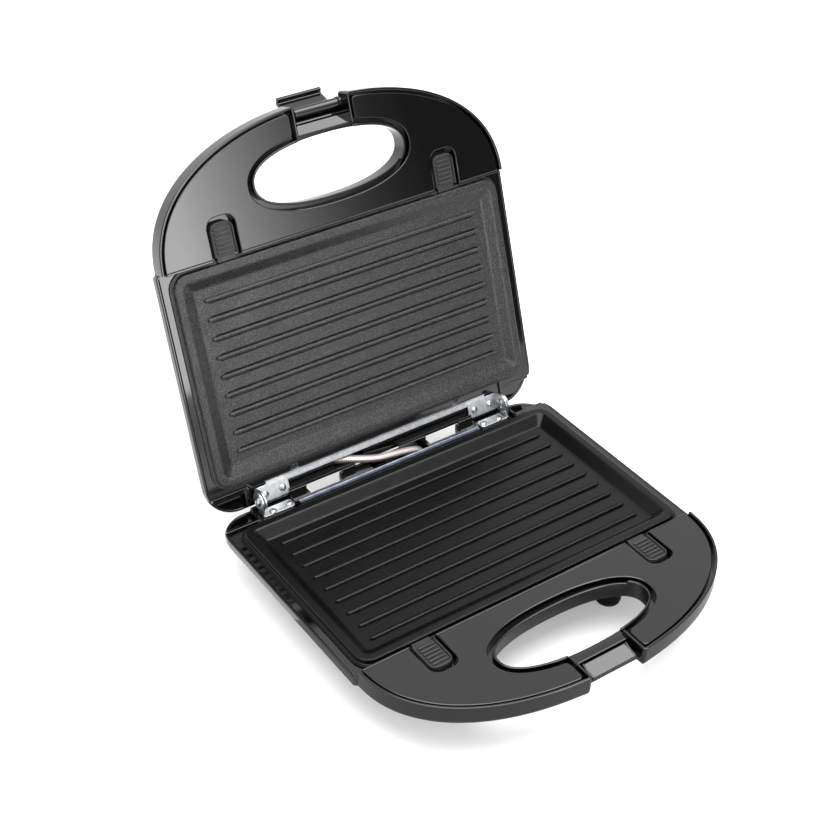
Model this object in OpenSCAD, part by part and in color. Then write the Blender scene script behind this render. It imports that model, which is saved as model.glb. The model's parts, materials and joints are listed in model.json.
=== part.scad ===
// Countertop panini press: two hinged halves with ribbed grill plates, finger-hole handles, a clamp latch
// and sliding plate clips, drawn with the lid open. The origin is the centre of the footprint on the table.
//
// Each half is built in the same half frame: the origin lies on the hinge axis in the plane where the
// halves meet, +X is to the right, -Y runs towards the handle and -Z runs into the half.

/* [Plates] */
// Width of a grill plate over its rim
plate_w = 232; // [224:1:232]
// Length of a grill plate over its rim
plate_l = 133.5; // [126:0.5:133.5]
// Depth of the lower plate's basin
base_depth = 6.1; // [4:0.1:6.5]
// Depth of the upper plate's basin
lid_depth = 2.9; // [2:0.1:6]
// Number of grill ribs on each plate
rib_count = 9; // [5:1:9]
// Height of a grill rib
rib_h = 1.2; // [0.8:0.1:1.5]

/* [Casing] */
// Overall width of the casing
body_w = 248; // [248:1:252]
// Distance from the hinge axis to the front of the handle
handle_reach = 226.4; // [226.4:0.2:228]
// Depth of each half from the meeting plane to its outer face
half_depth = 39; // [39:1:44]
// Thickness of the moulded walls
wall = 1.8; // [1.6:0.1:2.2]

/* [Finger hole] */
// Width of the finger hole
hole_w = 105; // [90:1:108]
// Length of the finger hole from front to back
hole_l = 37; // [30:1:38]

/* [Hinge] */
// Angle between the halves when the lid is fully open
open_angle = 109.5; // [100:0.5:109.5]
// Radius of the hinge pins
pin_r = 2; // [1.5:0.1:2.2]

/* [Latch] */
// Width of the latch
latch_w = 31; // [24:1:32]

/* [Hidden] */
$fn = 48;

// Heights in the half frame
rim_z = -2;
panel_z = -1.5;
lip_z = -0.5;
shelf_z = -6;
deck_z = -7.2;
bracket_deck_z = -8.4;
corner_z = -10;
skirt_z = -10;
brim_z = -14;
floor_z = -half_depth;
foot_z = -44;
panel_t = 2;
bracket_t = 1.2;
lid_bracket_z = -6.2;

// Distances along the half frame
back_y = 5.4;
corner_r = 22;
handle_y = -151.4;
cover_front_t = 1.3;
// Well under the plate and the decks behind it
well_half_w = 109;
well_front = -142;
well_back = -19.5;
deck_front = -21.5;
deck_back = 2.4;
plate_back = -14.4;
plate_front = plate_back - plate_l;
hole_y = -186.1;
notch_y = -206.8;
hinge_recess = 97;
brim_back = -9;

// Handle outline: half a superellipse in front of the plate
handle_half_w = body_w / 2 - 2;
handle_root = -150.4;
handle_power = 2.2;
hole_power = 2.3;
groove_inset = 3.2;

// Plate sheet
plate_t = 1.5;
plate_corner = 9;
rim_flat = 5.2;
wall_run = 6.4;
flange_w = 2;
rib_pitch = 11.9;
rib_l = 197;
rib_w = 2.6;

// Placement: the parked latch stands out behind the open lid and sets the rear of the footprint
parked_reach = 102;
hinge_y = (handle_reach - parked_reach) / 2;
mate_h = -foot_z;

// Screw posts and feet
post_x = 62;
post_ys = [-149.9, -9];
// Screw holes of the tray, the hinge brackets and the places of the lamps
tray_hole_x = 60;
tray_hole_ys = [-110, -60];
base_bracket_holes = [[75, -3.9], [87, -4.9]];
lid_bracket_holes = [[74, -0.4], [86.4, -0.4]];
lamp_xs = [-9, 9];
lamp_y = -96;
gland_z = -28;
// Clips, latch and notch
clip_x = 79;
clip_half_w = 7.8;
clip_tip_y = -171.9;
clip_r = 5;
pocket_half_w = 9.4;
pocket_tip_y = -175.4;
pocket_r = 6.4;
pocket_open_y = -148;
pocket_z = -6.5;
notch_half_w = 18.5;
latch_y = -219;
latch_z = -9;
latch_pin_r = 1;
latch_swing = 150;
// Rear windows in the base
window_x0 = 33;
window_x1 = 58;
window_z = -19;
// Reflector tray
tray_half_w = 96;
tray_y0 = -140;
tray_y1 = -24;
tray_z = -22;
tray_t = 0.8;
heater_z = -15;
heater_r = 3.25;
heater_ys = [-112, -50];
heater_bend_x = 58;

black_gloss = [0.03, 0.03, 0.035];
black_matte = [0.10, 0.10, 0.11];
coating = [0.16, 0.16, 0.17];
zinc = [0.78, 0.79, 0.80];
steel = [0.66, 0.67, 0.69];
rubber_black = [0.05, 0.05, 0.05];

// ---------- outlines ----------

function arc(cx, cy, r, a0, a1, n = 6) =
    [for (k = [0 : n]) let (a = a0 + (a1 - a0) * k / n) [cx + r * cos(a), cy + r * sin(a)]];

function power(c, n) = sign(c) * pow(abs(c), 2 / n);

// Front edge of the casing seen from above, set in by a distance
function handle_outline(inset) =
    [for (a = [0 : 6 : 180])
        [(handle_half_w - inset) * power(cos(a), handle_power),
         handle_root - (handle_reach + handle_root - inset) * power(sin(a), handle_power)]];

// Body behind the handle with its rounded rear corners, set in by its own distance at the rear
function body_outline(inset, rear_inset) =
    let (x = body_w / 2 - inset, y = back_y - rear_inset, r = corner_r - inset)
    concat([[x, handle_y]], arc(x - r, y - r, r, 0, 90), arc(r - x, y - r, r, 90, 180), [[-x, handle_y]]);

// Whole casing seen from above
function casing_outline(inset, rear_inset) =
    concat(handle_outline(inset), body_outline(inset, rear_inset));

// Rounded rectangle, wide in X
function rounded_box(x, y0, y1, r) =
    concat(arc(x - r, y1 - r, r, 0, 90), arc(r - x, y1 - r, r, 90, 180),
           arc(r - x, y0 + r, r, 180, 270), arc(x - r, y0 + r, r, 270, 360));

// The belly narrows as it goes down, most of all under the handle
function belly_outline(inset, t = 0) =
    rounded_box(body_w / 2 - inset - t, -167 + 0.65 * inset + t, back_y - 0.15 * inset - t, 32 - t);

function hole_outline(grow) =
    [for (a = [0 : 10 : 350])
        [(hole_w / 2 + grow) * power(cos(a), hole_power),
         hole_y + (hole_l / 2 + grow) * power(sin(a), hole_power)]];

// ---------- building blocks ----------

module slab(points, z0, z1) {
    translate([0, 0, z0])
        linear_extrude(z1 - z0)
            polygon(points);
}

module taper(points_a, z_a, points_b, z_b) {
    hull() {
        slab(points_a, z_a - 0.01, z_a);
        slab(points_b, z_b, z_b + 0.01);
    }
}

module block(x0, x1, y0, y1, z0, z1) {
    translate([x0, y0, z0])
        cube([x1 - x0, y1 - y0, z1 - z0]);
}

// A profile drawn in Y and Z, run along X between two positions
module run_x(points, x0, x1) {
    translate([x0, 0, 0])
        rotate([90, 0, 90])
            linear_extrude(x1 - x0)
                polygon(points);
}

// A profile drawn in X and Z, run along Y between two positions
module run_y(points, y0, y1) {
    translate([0, y1, 0])
        rotate([90, 0, 0])
            linear_extrude(y1 - y0)
                polygon(points);
}

module rod_x(r, x0, x1, y = 0, z = 0) {
    translate([x0, y, z])
        rotate([0, 90, 0])
            cylinder(r = r, h = x1 - x0);
}

module rod_z(r, x, y, z0, z1) {
    translate([x, y, z0])
        cylinder(r = r, h = z1 - z0);
}

module both_sides() {
    children();
    mirror([1, 0, 0]) children();
}

module in_base() {
    translate([0, hinge_y, mate_h]) children();
}

module in_lid() {
    translate([0, hinge_y, mate_h])
        rotate([-open_angle, 0, 0])
            mirror([0, 0, 1]) children();
}

// ---------- soft wires ----------

function unit(v) = v / norm(v);

// Catmull-Rom curve through a route, with a number of steps between each two of its points
function curve_point(a, b, c, d, t) =
    0.5 * (2 * b + (c - a) * t + (2 * a - 5 * b + 4 * c - d) * t * t + (3 * b - a - 3 * c + d) * t * t * t);

function smooth(route, steps) =
    let (last = len(route) - 1)
    concat(
        [for (i = [0 : last - 1], k = [0 : steps - 1])
            curve_point(route[max(i - 1, 0)], route[i], route[i + 1], route[min(i + 2, last)], k / steps)],
        [route[last]]);

// Round tube swept along a path, with 8 sides
module tube(path, r) {
    last = len(path) - 1;
    sides = 8;
    rings = [for (i = [0 : last])
        let (t = unit(path[min(i + 1, last)] - path[max(i - 1, 0)]),
             u = unit(cross(t, abs(t.z) > 0.9 ? [0, 1, 0] : [0, 0, 1])),
             v = cross(u, t))
        for (k = [0 : sides - 1])
            path[i] + r * cos(360 * k / sides) * u + r * sin(360 * k / sides) * v];
    walls = [for (i = [0 : last - 1], k = [0 : sides - 1])
        let (n = (k + 1) % sides)
        [i * sides + k, i * sides + n, (i + 1) * sides + n, (i + 1) * sides + k]];
    start = [for (k = [sides - 1 : -1 : 0]) k];
    end = [for (k = [0 : sides - 1]) last * sides + k];
    polyhedron(points = rings, faces = concat(walls, [start, end]));
}

sleeve_route = [
    [24, -5, -24], [26.5, -3.4, -18.5], [27, -2, -13.6], [24, -0.9, -9.8], [17, -0.3, -7.8],
    [6, 0.3, -6.4], [-5, 1.4, -5.4], [-15, 4.2, -3.8], [-23, 7.2, -2.4], [-28, 10.2, -2.5],
    [-31, 13.4, -3.6], [-32, 17, -4.8]
];
base_wire_routes = [
    [[-10, -25, -30], [-12, -22, -31], [-26, -23, -33], [-70, -40, -30], [-96, -46, -27.5],
     [-100, -49, -21], [-98, -50, -15]],
    [[0, -25, -30], [3, -21, -30], [22, -24, -32], [26, -50, -34], [0, -80, -34], [-60, -98, -32],
     [-96, -111, -27.5], [-100, -113, -21], [-98, -112, -15]],
    [[10, -25, -30], [13, -21, -28], [22, -14, -27.5], [24, -6, -25.5]]
];
lid_wire_routes = [
    [[-32, -5, -20], [-50, -20, -28], [-80, -40, -28], [-96, -46, -27.5], [-100, -49, -21], [-98, -50, -15]],
    [[-31, -9, -20], [-33, -18, -28], [-40, -60, -32], [-60, -98, -31], [-96, -111, -27.5],
     [-100, -113, -21], [-98, -112, -15]],
    [[-29, -7, -21], [-27, -16, -29], [-20, -40, -33], [-10, -70, -34], [-8, -88, -33]]
];

// ---------- casings ----------

// Outer bowl: the raised lip round the handle, the skirt, the rounded brim and the belly
module shell_outer(rear_z) {
    slab(handle_outline(0), skirt_z, lip_z);
    slab(body_outline(0, 0), skirt_z, skirt_z + 0.5);
    intersection() {
        slab(body_outline(0, 0), skirt_z, shelf_z);
        block(-130, 130, -160, brim_back, skirt_z, 0);
    }
    intersection() {
        slab(body_outline(0, 0), skirt_z, rear_z);
        block(-hinge_recess, hinge_recess, brim_back, 10, skirt_z, 0);
    }
    taper(casing_outline(0.1, 0.1), skirt_z + 0.1, casing_outline(5, 1.2), brim_z);
    taper(belly_outline(8), -13.9, belly_outline(20), -25);
    taper(belly_outline(20), -25, belly_outline(34), floor_z);
}

module shell_cavity() {
    slab(handle_outline(wall), skirt_z - 0.1, 1);
    slab(body_outline(wall, wall), skirt_z - 0.1, 1);
    taper(casing_outline(wall + 0.1, wall + 0.1), skirt_z + 0.1, casing_outline(6.5, 3.2), brim_z + 2);
    taper(belly_outline(8, 2.2), -11.9, belly_outline(20, 2.2), -25);
    taper(belly_outline(20, 2.2), -24.9, belly_outline(34, 2.2), floor_z + 2);
}

// Walls that stand inside the handle: round the finger hole and beside the notch
module shell_handle_walls(notch_back) {
    slab(hole_outline(3), brim_z, -8.4);
    intersection() {
        slab(handle_outline(0.05), brim_z + 1, lip_z);
        union() {
            both_sides() block(notch_half_w, notch_half_w + 2, -230, notch_y - 0.1, brim_z, 0);
            block(-notch_half_w, notch_half_w, notch_back, notch_back + 2, brim_z, -7.4);
        }
    }
}

module shell(rear_z, notch_back) {
    difference() {
        union() {
            difference() {
                shell_outer(rear_z);
                shell_cavity();
            }
            shell_handle_walls(notch_back);
        }
        slab(hole_outline(0.4), -20, 1);
        block(-notch_half_w, notch_half_w, -240, notch_back, -20, 1);
    }
}

module base_bottom_shell() {
    color(black_gloss) in_base() difference() {
        union() {
            shell(deck_z, -218.6);
            run_x([[-212.4, brim_z + 1], [-212.4, -4], [-206.9, -2.4], [-206.9, brim_z + 1]],
                  -notch_half_w, notch_half_w);
            both_sides() for (y = post_ys) {
                rod_z(8, post_x, y, foot_z + 2, -30);
                rod_z(4.5, post_x, y, -31, -12);
            }
            both_sides() for (y = tray_hole_ys) rod_z(4, tray_hole_x, y, floor_z + 1, tray_z - tray_t);
            translate([0, -4, gland_z]) rotate([-90, 0, 0]) cylinder(r = 9, h = 5);
        }
        both_sides() {
            block(window_x0 - 2.2, window_x1 + 2.2, -5, 10, window_z - 2.2, 0);
            for (y = post_ys) {
                rod_z(3.5, post_x, y, -50, -30);
                rod_z(1.7, post_x, y, -31, -11);
            }
            for (y = tray_hole_ys) rod_z(1.3, tray_hole_x, y, -31, tray_z);
        }
        translate([0, -6, gland_z]) rotate([-90, 0, 0]) cylinder(r = 5.5, h = 12);
        translate([0, 0.8, gland_z]) rotate([-90, 0, 0]) cylinder(r = 7.6, h = 12);
    }
}

module lid_outer_shell() {
    color(black_gloss) in_lid() difference() {
        union() {
            shell(skirt_z + 0.5, -212.4);
            both_sides() {
                rod_z(4.5, post_x, post_ys[0], -33, shelf_z - panel_t);
                rod_z(4.5, post_x, post_ys[1], -38, deck_z - panel_t);
                for (y = tray_hole_ys) rod_z(4, tray_hole_x, y, floor_z + 1, tray_z - tray_t);
            }
        }
        both_sides() {
            for (y = post_ys) rod_z(1.4, post_x, y, -22, 0);
            for (y = tray_hole_ys) rod_z(1.3, tray_hole_x, y, -31, tray_z);
        }
        for (x = lamp_xs) rod_z(4.1, x, lamp_y, -50, -30);
        rod_x(latch_pin_r + 0.02, -30, 30, latch_y, latch_z);
    }
}

// Slot with rounded corners at its tip, open towards the plate
function slot_outline(half_w, tip, r, open_y) =
    concat([[half_w, open_y]],
           arc(half_w - r, tip + r, r, 0, -90),
           arc(r - half_w, tip + r, r, -90, -180),
           [[-half_w, open_y]]);

// Pocket that a release clip slides in
function pocket_outline(grow) =
    slot_outline(pocket_half_w + grow, pocket_tip_y - grow, pocket_r + grow, pocket_open_y);

module cover_pocket_walls() {
    translate([clip_x, 0, 0]) slab(pocket_outline(1.6), -8, panel_z);
}

module cover_pocket_cut() {
    translate([clip_x, 0, 0]) slab(pocket_outline(0), pocket_z, 1);
}

// Hook that holds the rear flange of a plate
module plate_hook() {
    run_x([[-12.2, deck_z], [-10.6, deck_z], [-10.6, -3.4], [-14, -3.4], [-14, -4.8], [-12.2, -4.8]], 34, 46);
}

module cover_handle() {
    intersection() {
        union() {
            slab(handle_outline(groove_inset), -3.5, panel_z);
            slab(handle_outline(wall + 0.1), -4.7, -3.4);
        }
        block(-130, 130, -240, handle_y, -20, 0);
    }
    block(-118.5, 118.5, handle_y, handle_y + cover_front_t, shelf_z - panel_t, panel_z);
    intersection() {
        both_sides() cover_pocket_walls();
        block(-130, 130, -240, handle_y + cover_front_t, -20, 0);
    }
    slab(hole_outline(2.4), -8.2, -1.1);
}

module cover_body(side_deck_z) {
    difference() {
        intersection() {
            slab(body_outline(wall + 0.1, wall + 0.1), shelf_z - panel_t, shelf_z);
            block(-130, 130, handle_y, brim_back, -20, 0);
        }
        block(-well_half_w, well_half_w, well_front, well_back, -20, 0);
        block(-hinge_recess, hinge_recess, well_back - 0.1, brim_back + 1, -20, 0);
    }
    difference() {
        union() {
            block(-71, 71, deck_front, deck_back, deck_z - panel_t, deck_z);
            both_sides() block(70, hinge_recess, deck_front, deck_back, side_deck_z - panel_t, side_deck_z);
            both_sides()
                block(hinge_recess - 0.1, hinge_recess + panel_t, deck_front, deck_back - 0.4, -12, shelf_z);
        }
        block(-well_half_w, well_half_w, well_front, well_back, -20, shelf_z - panel_t);
    }
    intersection() {
        union() {
            slab(body_outline(3.5, 3.5), corner_z - 0.6, corner_z);
            slab(body_outline(6.8, 3.8), corner_z - panel_t, corner_z - 0.5);
        }
        both_sides() block(hinge_recess, 130, brim_back, 10, -20, 0);
    }
    both_sides() {
        block(hinge_recess, 121, brim_back - 0.1, brim_back + panel_t, skirt_z + 0.1, shelf_z);
        block(hinge_recess, 117, brim_back - 0.1, brim_back + panel_t, corner_z - panel_t, skirt_z + 0.2);
    }
    both_sides() plate_hook();
}

module cover(side_deck_z) {
    difference() {
        union() {
            cover_handle();
            cover_body(side_deck_z);
        }
        both_sides() cover_pocket_cut();
        slab(hole_outline(0), -20, 1);
        block(-notch_half_w - groove_inset, notch_half_w + groove_inset, -240, notch_y, -20, 1);
    }
}

module base_top_cover() {
    color(black_matte) in_base() difference() {
        union() {
            cover(bracket_deck_z);
            both_sides() {
                block(window_x0 - 2, window_x1 + 2, -4.6, 3.4, window_z - 2, deck_z);
                rod_z(4, post_x, post_ys[0], -12, shelf_z - 1);
                rod_z(4, post_x, post_ys[1], -12, deck_z - 1);
            }
        }
        both_sides() {
            block(window_x0, window_x1, -2.6, 10, window_z, 0);
            for (y = post_ys) rod_z(1.5, post_x, y, -20, -8.3);
            for (p = base_bracket_holes) rod_z(1.25, p.x, p.y, -20, 0);
        }
        block(-12, window_x0 - 2.5, -4.4, 10, -20, 0);
    }
}

module lid_inner_cover() {
    color(black_matte) in_lid() difference() {
        union() {
            cover(deck_z);
            both_sides() block(69.5, 91, -3.3, deck_back, deck_z - 1, lid_bracket_z);
        }
        both_sides() {
            for (y = post_ys) {
                z = y < -100 ? shelf_z : deck_z;
                rod_z(1.6, post_x, y, -20, 0);
                rod_z(3.2, post_x, y, z - 1.2, 0);
            }
            for (p = lid_bracket_holes) rod_z(1.25, p.x, p.y, -20, 0);
        }
        block(-35, -13, -3.45, 10, -20, 0);
    }
}

// ---------- grill plates ----------

// Pyramid-sided block that shapes a basin: its mitred walls slope in from the rim
module basin(depth, grow, top) {
    a = plate_w / 2 - rim_flat + grow;
    b = a - wall_run;
    y0 = plate_front + rim_flat - grow;
    y1 = plate_back - rim_flat + grow;
    z0 = rim_z - depth;
    run = wall_run / depth * (top - rim_z);
    intersection() {
        run_y([[-b, z0], [b, z0], [a + run, top], [-a - run, top]], plate_front - 20, plate_back + 20);
        run_x([[y0 + wall_run, z0], [y1 - wall_run, z0], [y1 + run, top], [y0 - run, top]],
              -plate_w, plate_w);
    }
}

module grill_rib(y, z) {
    block(rib_w / 2 - rib_l / 2, rib_l / 2 - rib_w / 2, y - rib_w / 2, y + rib_w / 2, z - 0.5, z + rib_h);
    for (x = [rib_w / 2 - rib_l / 2, rib_l / 2 - rib_w / 2]) rod_z(rib_w / 2, x, y, z - 0.5, z + rib_h);
}

module grill_plate(depth) {
    rim = rounded_box(plate_w / 2, plate_front, plate_back, plate_corner);
    rim_inside = rounded_box(plate_w / 2 - plate_t, plate_front + plate_t, plate_back - plate_t,
                             plate_corner - plate_t);
    flange = rounded_box(plate_w / 2 + flange_w, plate_front - flange_w, plate_back + flange_w,
                         plate_corner + flange_w);
    difference() {
        union() {
            slab(rim, rim_z - plate_t, rim_z);
            difference() {
                union() {
                    slab(rim, shelf_z, rim_z);
                    slab(flange, shelf_z, shelf_z + 1);
                }
                slab(rim_inside, shelf_z - 1, rim_z - plate_t);
            }
            translate([0, 0, -plate_t]) basin(depth, 0.9, rim_z);
        }
        basin(depth, 0, rim_z + 1);
    }
    for (k = [0 : rib_count - 1])
        grill_rib((plate_front + plate_back) / 2 + (k - (rib_count - 1) / 2) * rib_pitch, rim_z - depth);
}

module lower_grill_plate() {
    color(coating) in_base() grill_plate(base_depth);
}

module upper_grill_plate() {
    color(coating) in_lid() grill_plate(lid_depth);
}

// ---------- heating ----------

module reflector_tray() {
    difference() {
        block(-tray_half_w, tray_half_w, tray_y0, tray_y1, tray_z - tray_t, -10.4);
        block(tray_t - tray_half_w, tray_half_w - tray_t, tray_y0 + tray_t, tray_y1 - tray_t, tray_z, 0);
        both_sides() for (y = tray_hole_ys) rod_z(1.6, tray_hole_x, y, -30, 0);
        for (y = heater_ys) rod_x(3.6, -110, -80, y, heater_z);
    }
}

// Tubular heater bent into a hairpin, with thinner cold ends on the left
module heating_element() {
    for (y = heater_ys) {
        rod_x(heater_r, -90, heater_bend_x, y, heater_z);
        rod_x(2, -96.8, -89.9, y, heater_z);
    }
    translate([heater_bend_x, (heater_ys[0] + heater_ys[1]) / 2, heater_z])
        rotate([0, 0, -90])
            rotate_extrude(angle = 180)
                translate([(heater_ys[1] - heater_ys[0]) / 2, 0]) circle(r = heater_r);
}

module heater_saddles() {
    for (x = [-72, 0, 45], y = heater_ys) difference() {
        block(x - 5, x + 5, y - 6, y + 6, tray_z, heater_z + 1);
        block(x - 6, x + 6, y - 5, y + 5, tray_z + 1, heater_z - heater_r - 1);
        rod_x(heater_r + 0.02, x - 6, x + 6, y, heater_z);
    }
}

module tray_screws() {
    both_sides() for (y = tray_hole_ys) {
        rod_z(3, tray_hole_x, y, tray_z, tray_z + 1.6);
        rod_z(1.28, tray_hole_x, y, -30, tray_z);
    }
}

module thermostat(x) {
    rod_z(8, x, -80, -29, tray_z - tray_t);
    both_sides_at(x) block(x + 7.5, x + 13, -82, -78, -24, tray_z - tray_t);
}

module both_sides_at(x) {
    children();
    translate([2 * x, 0, 0]) mirror([1, 0, 0]) children();
}

module lower_reflector_tray() {
    color(steel) in_base() reflector_tray();
}

module lower_heating_element() {
    color(steel) in_base() heating_element();
}

module lower_heater_saddles() {
    color(zinc) in_base() heater_saddles();
}

module lower_tray_screws() {
    color(zinc) in_base() tray_screws();
}

module upper_reflector_tray() {
    color(steel) in_lid() reflector_tray();
}

module upper_heating_element() {
    color(steel) in_lid() heating_element();
}

module upper_heater_saddles() {
    color(zinc) in_lid() heater_saddles();
}

module upper_tray_screws() {
    color(zinc) in_lid() tray_screws();
}

module base_thermostat() {
    color(zinc) in_base() thermostat(-20);
}

module lid_thermostat() {
    color(zinc) in_lid() thermostat(20);
}

module base_thermal_fuse() {
    color("tan") in_base() {
        rod_x(2.2, 14, 28, -80, -26);
        rod_x(0.6, 8, 34, -80, -26);
    }
}

module terminal_block() {
    color("ivory") in_base() difference() {
        union() {
            block(-18, 18, -34, -26, -37, -27);
            for (x = [-10, 0, 10]) block(x - 4, x + 4, -32, -28, -37, -24.5);
        }
        for (x = [-10, 0, 10]) rod_z(1.8, x, -30, -28, 0);
    }
}

module base_wiring() {
    color("firebrick") in_base() for (route = base_wire_routes) tube(smooth(route, 4), 1);
}

module lid_wiring() {
    color("firebrick") in_lid() for (route = lid_wire_routes) tube(smooth(route, 4), 1);
}

module wire_sleeve() {
    color([0.62, 0.55, 0.52]) in_base() tube(smooth(sleeve_route, 3), 2);
}

// ---------- hinge ----------

module base_cross_strip() {
    color([0.40, 0.43, 0.50]) in_base()
        run_x([[-8.6, deck_z], [-5.7, deck_z], [-5.7, -6], [-6.3, -6], [-6.5, -6.4], [-7.8, -6.4],
               [-8, -6], [-8.6, -6]], -69, 69);
}

module lid_cross_strip() {
    color(zinc) in_lid() {
        block(-84, 84, -8, -3.5, deck_z, -6.2);
    }
}

module base_bracket() {
    difference() {
        union() {
            block(72, 94.4, -7.4, -0.4, bracket_deck_z, bracket_deck_z + bracket_t);
            rod_x(6, 94.4 - bracket_t, 94.4);
            block(94.4 - bracket_t, 94.4, -6, -0.4, bracket_deck_z, 0);
        }
        rod_x(pin_r + 0.02, 90, 97);
        for (p = base_bracket_holes) rod_z(1.3, p.x, p.y, -20, 0);
    }
}

module lid_bracket() {
    difference() {
        union() {
            block(69.2, 92.7, -6.4, 4.6, lid_bracket_z, lid_bracket_z + bracket_t);
            rod_x(6.6, 92.7 - bracket_t, 92.7);
            block(92.7 - bracket_t, 92.7, -6.4, 4.6, lid_bracket_z, 0);
        }
        rod_x(pin_r + 0.05, 90, 97);
        for (p = lid_bracket_holes) rod_z(1.3, p.x, p.y, -20, 0);
    }
}

module domed_screw(x, y, z, length) {
    rod_z(1.2, x, y, z - length, z + 0.5);
    translate([x, y, z]) intersection() {
        translate([0, 0, -2.2]) sphere(r = 3.4);
        cylinder(r = 2.5, h = 3);
    }
}

module base_hinge_bracket_left() {
    color(zinc) in_base() mirror([1, 0, 0]) base_bracket();
}

module base_hinge_bracket_right() {
    color(zinc) in_base() base_bracket();
}

module lid_hinge_bracket_left() {
    color(zinc) in_lid() mirror([1, 0, 0]) lid_bracket();
}

module lid_hinge_bracket_right() {
    color(zinc) in_lid() lid_bracket();
}

module base_bracket_screws() {
    color(zinc) in_base() both_sides() for (p = base_bracket_holes) domed_screw(p.x, p.y, deck_z, 5);
}

module lid_bracket_screws() {
    color(zinc) in_lid() both_sides()
        for (p = lid_bracket_holes) domed_screw(p.x, p.y, lid_bracket_z + bracket_t, 6);
}

module hinge_pins() {
    color(steel) in_base() both_sides() {
        rod_x(pin_r, 90.2, 95.8);
        rod_x(3.2, 94.5, 95.8);
        rod_x(3.2, 90.2, 91.4);
    }
}

module hinge_washers() {
    color(zinc) in_base() both_sides() difference() {
        rod_x(4, 92.78, 93.12);
        rod_x(pin_r + 0.1, 92, 94);
    }
}

// ---------- clips ----------

module release_clip() {
    color(black_matte) translate([clip_x, 0, 0]) difference() {
        union() {
            slab(slot_outline(clip_half_w, clip_tip_y, clip_r, handle_y - 0.3), -6.3, -2.4);
            block(-6, 6, handle_y - 0.4, plate_front - 0.3, -4.6, -3.2);
            for (k = [0 : 5]) block(-5.6, 5.6, -168 + 2.4 * k, -166.8 + 2.4 * k, -2.5, -1.6);
        }
        block(-3.2, 3.2, -170.5, -157, -7, -4);
    }
}

// Flat zigzag spring between the clip and the far wall of its pocket
module clip_spring() {
    pitch = 2;
    for (k = [0 : 5]) {
        s = k % 2 == 0 ? 1 : -1;
        translate([clip_x, 0, 0])
            slab([[-2.6 * s, -169.9 + pitch * k], [2.6 * s, -169.9 + pitch * (k + 1)],
                  [2.6 * s, -169.5 + pitch * (k + 1)], [-2.6 * s, -169.5 + pitch * k]], -6.2, -4.4);
    }
    translate([clip_x, 0, 0]) {
        for (k = [0 : 6]) block(k % 2 == 0 ? -2.9 : 2.5, k % 2 == 0 ? -2.5 : 2.9,
                                -169.9 + pitch * k, -169.5 + pitch * k, -6.2, -4.4);
    }
}

module clip_springs() {
    color(steel) both_sides() clip_spring();
}

module base_release_clip_left() {
    in_base() mirror([1, 0, 0]) release_clip();
}

module base_release_clip_right() {
    in_base() release_clip();
}

module lid_release_clip_left() {
    in_lid() mirror([1, 0, 0]) release_clip();
}

module lid_release_clip_right() {
    in_lid() release_clip();
}

module base_clip_springs() {
    in_base() clip_springs();
}

module lid_clip_springs() {
    in_lid() clip_springs();
}

// ---------- latch ----------

// The latch is drawn clamped, about its pin, and turned back to its parked place
module latch() {
    color(black_gloss) in_lid() translate([0, latch_y, latch_z]) rotate([latch_swing, 0, 0]) difference() {
        union() {
            rod_x(3.2, -latch_w / 2, latch_w / 2);
            run_x([[-6, -1], [0, -1], [0, 3], [-3.4, 3], [-3.4, 17], [-0.5, 17], [-0.5, 19.5], [-4.6, 19.5],
                   [-6, 18.1]], -latch_w / 2, latch_w / 2);
        }
        rod_x(latch_pin_r + 0.05, -latch_w, latch_w);
    }
}

module latch_pin() {
    color(steel) in_lid() rod_x(latch_pin_r, -20.3, 20.3, latch_y, latch_z);
}

module latch_keeper() {
    color(black_gloss) in_base()
        run_x([[-212.5, -7.4], [-222.3, -7.4], [-222.3, -5.6], [-212.5, -3.4]], -17.8, 17.8);
}

// ---------- feet, screws, gland and lamps ----------

module feet() {
    color(rubber_black) in_base() both_sides() for (y = post_ys) {
        rod_z(7.4, post_x, y, foot_z, foot_z + 2);
        rod_z(3.4, post_x, y, foot_z + 1, -36);
    }
}

module base_shell_screws() {
    color(zinc) in_base() both_sides() for (y = post_ys) {
        rod_z(3.2, post_x, y, -32.4, -30);
        rod_z(1.48, post_x, y, -30.1, -8.5);
    }
}

module lid_shell_screws() {
    color(zinc) in_lid() both_sides() for (y = post_ys) {
        z = y < -100 ? shelf_z : deck_z;
        rod_z(3, post_x, y, z - 1.2, z);
        rod_z(1.38, post_x, y, -21, z - 1);
    }
}

module cord_gland() {
    color(rubber_black) in_base() translate([0, 0, gland_z]) rotate([-90, 0, 0]) difference() {
        union() {
            translate([0, 0, -6]) cylinder(r = 7, h = 2);
            translate([0, 0, -4.1]) cylinder(r = 5.45, h = 5);
            translate([0, 0, 0.8]) cylinder(r = 7.5, h = 2);
            translate([0, 0, 2.7]) cylinder(r = 5.8, h = 2.3);
        }
        translate([0, 0, -10]) cylinder(r = 3.5, h = 20);
    }
}

module indicator_lens(x, tint) {
    color(tint) in_lid() {
        rod_z(4, x, lamp_y, floor_z - 0.6, floor_z + 2.5);
        rod_z(5.5, x, lamp_y, floor_z + 2, floor_z + 3.2);
    }
}

module indicator_lens_power() {
    indicator_lens(lamp_xs[0], [0.8, 0.1, 0.08]);
}

module indicator_lens_ready() {
    indicator_lens(lamp_xs[1], [0.1, 0.6, 0.2]);
}

module indicator_lamps() {
    color([0.9, 0.85, 0.8]) in_lid() for (x = lamp_xs) rod_z(2.4, x, lamp_y, floor_z + 3.3, floor_z + 12);
}

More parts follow.
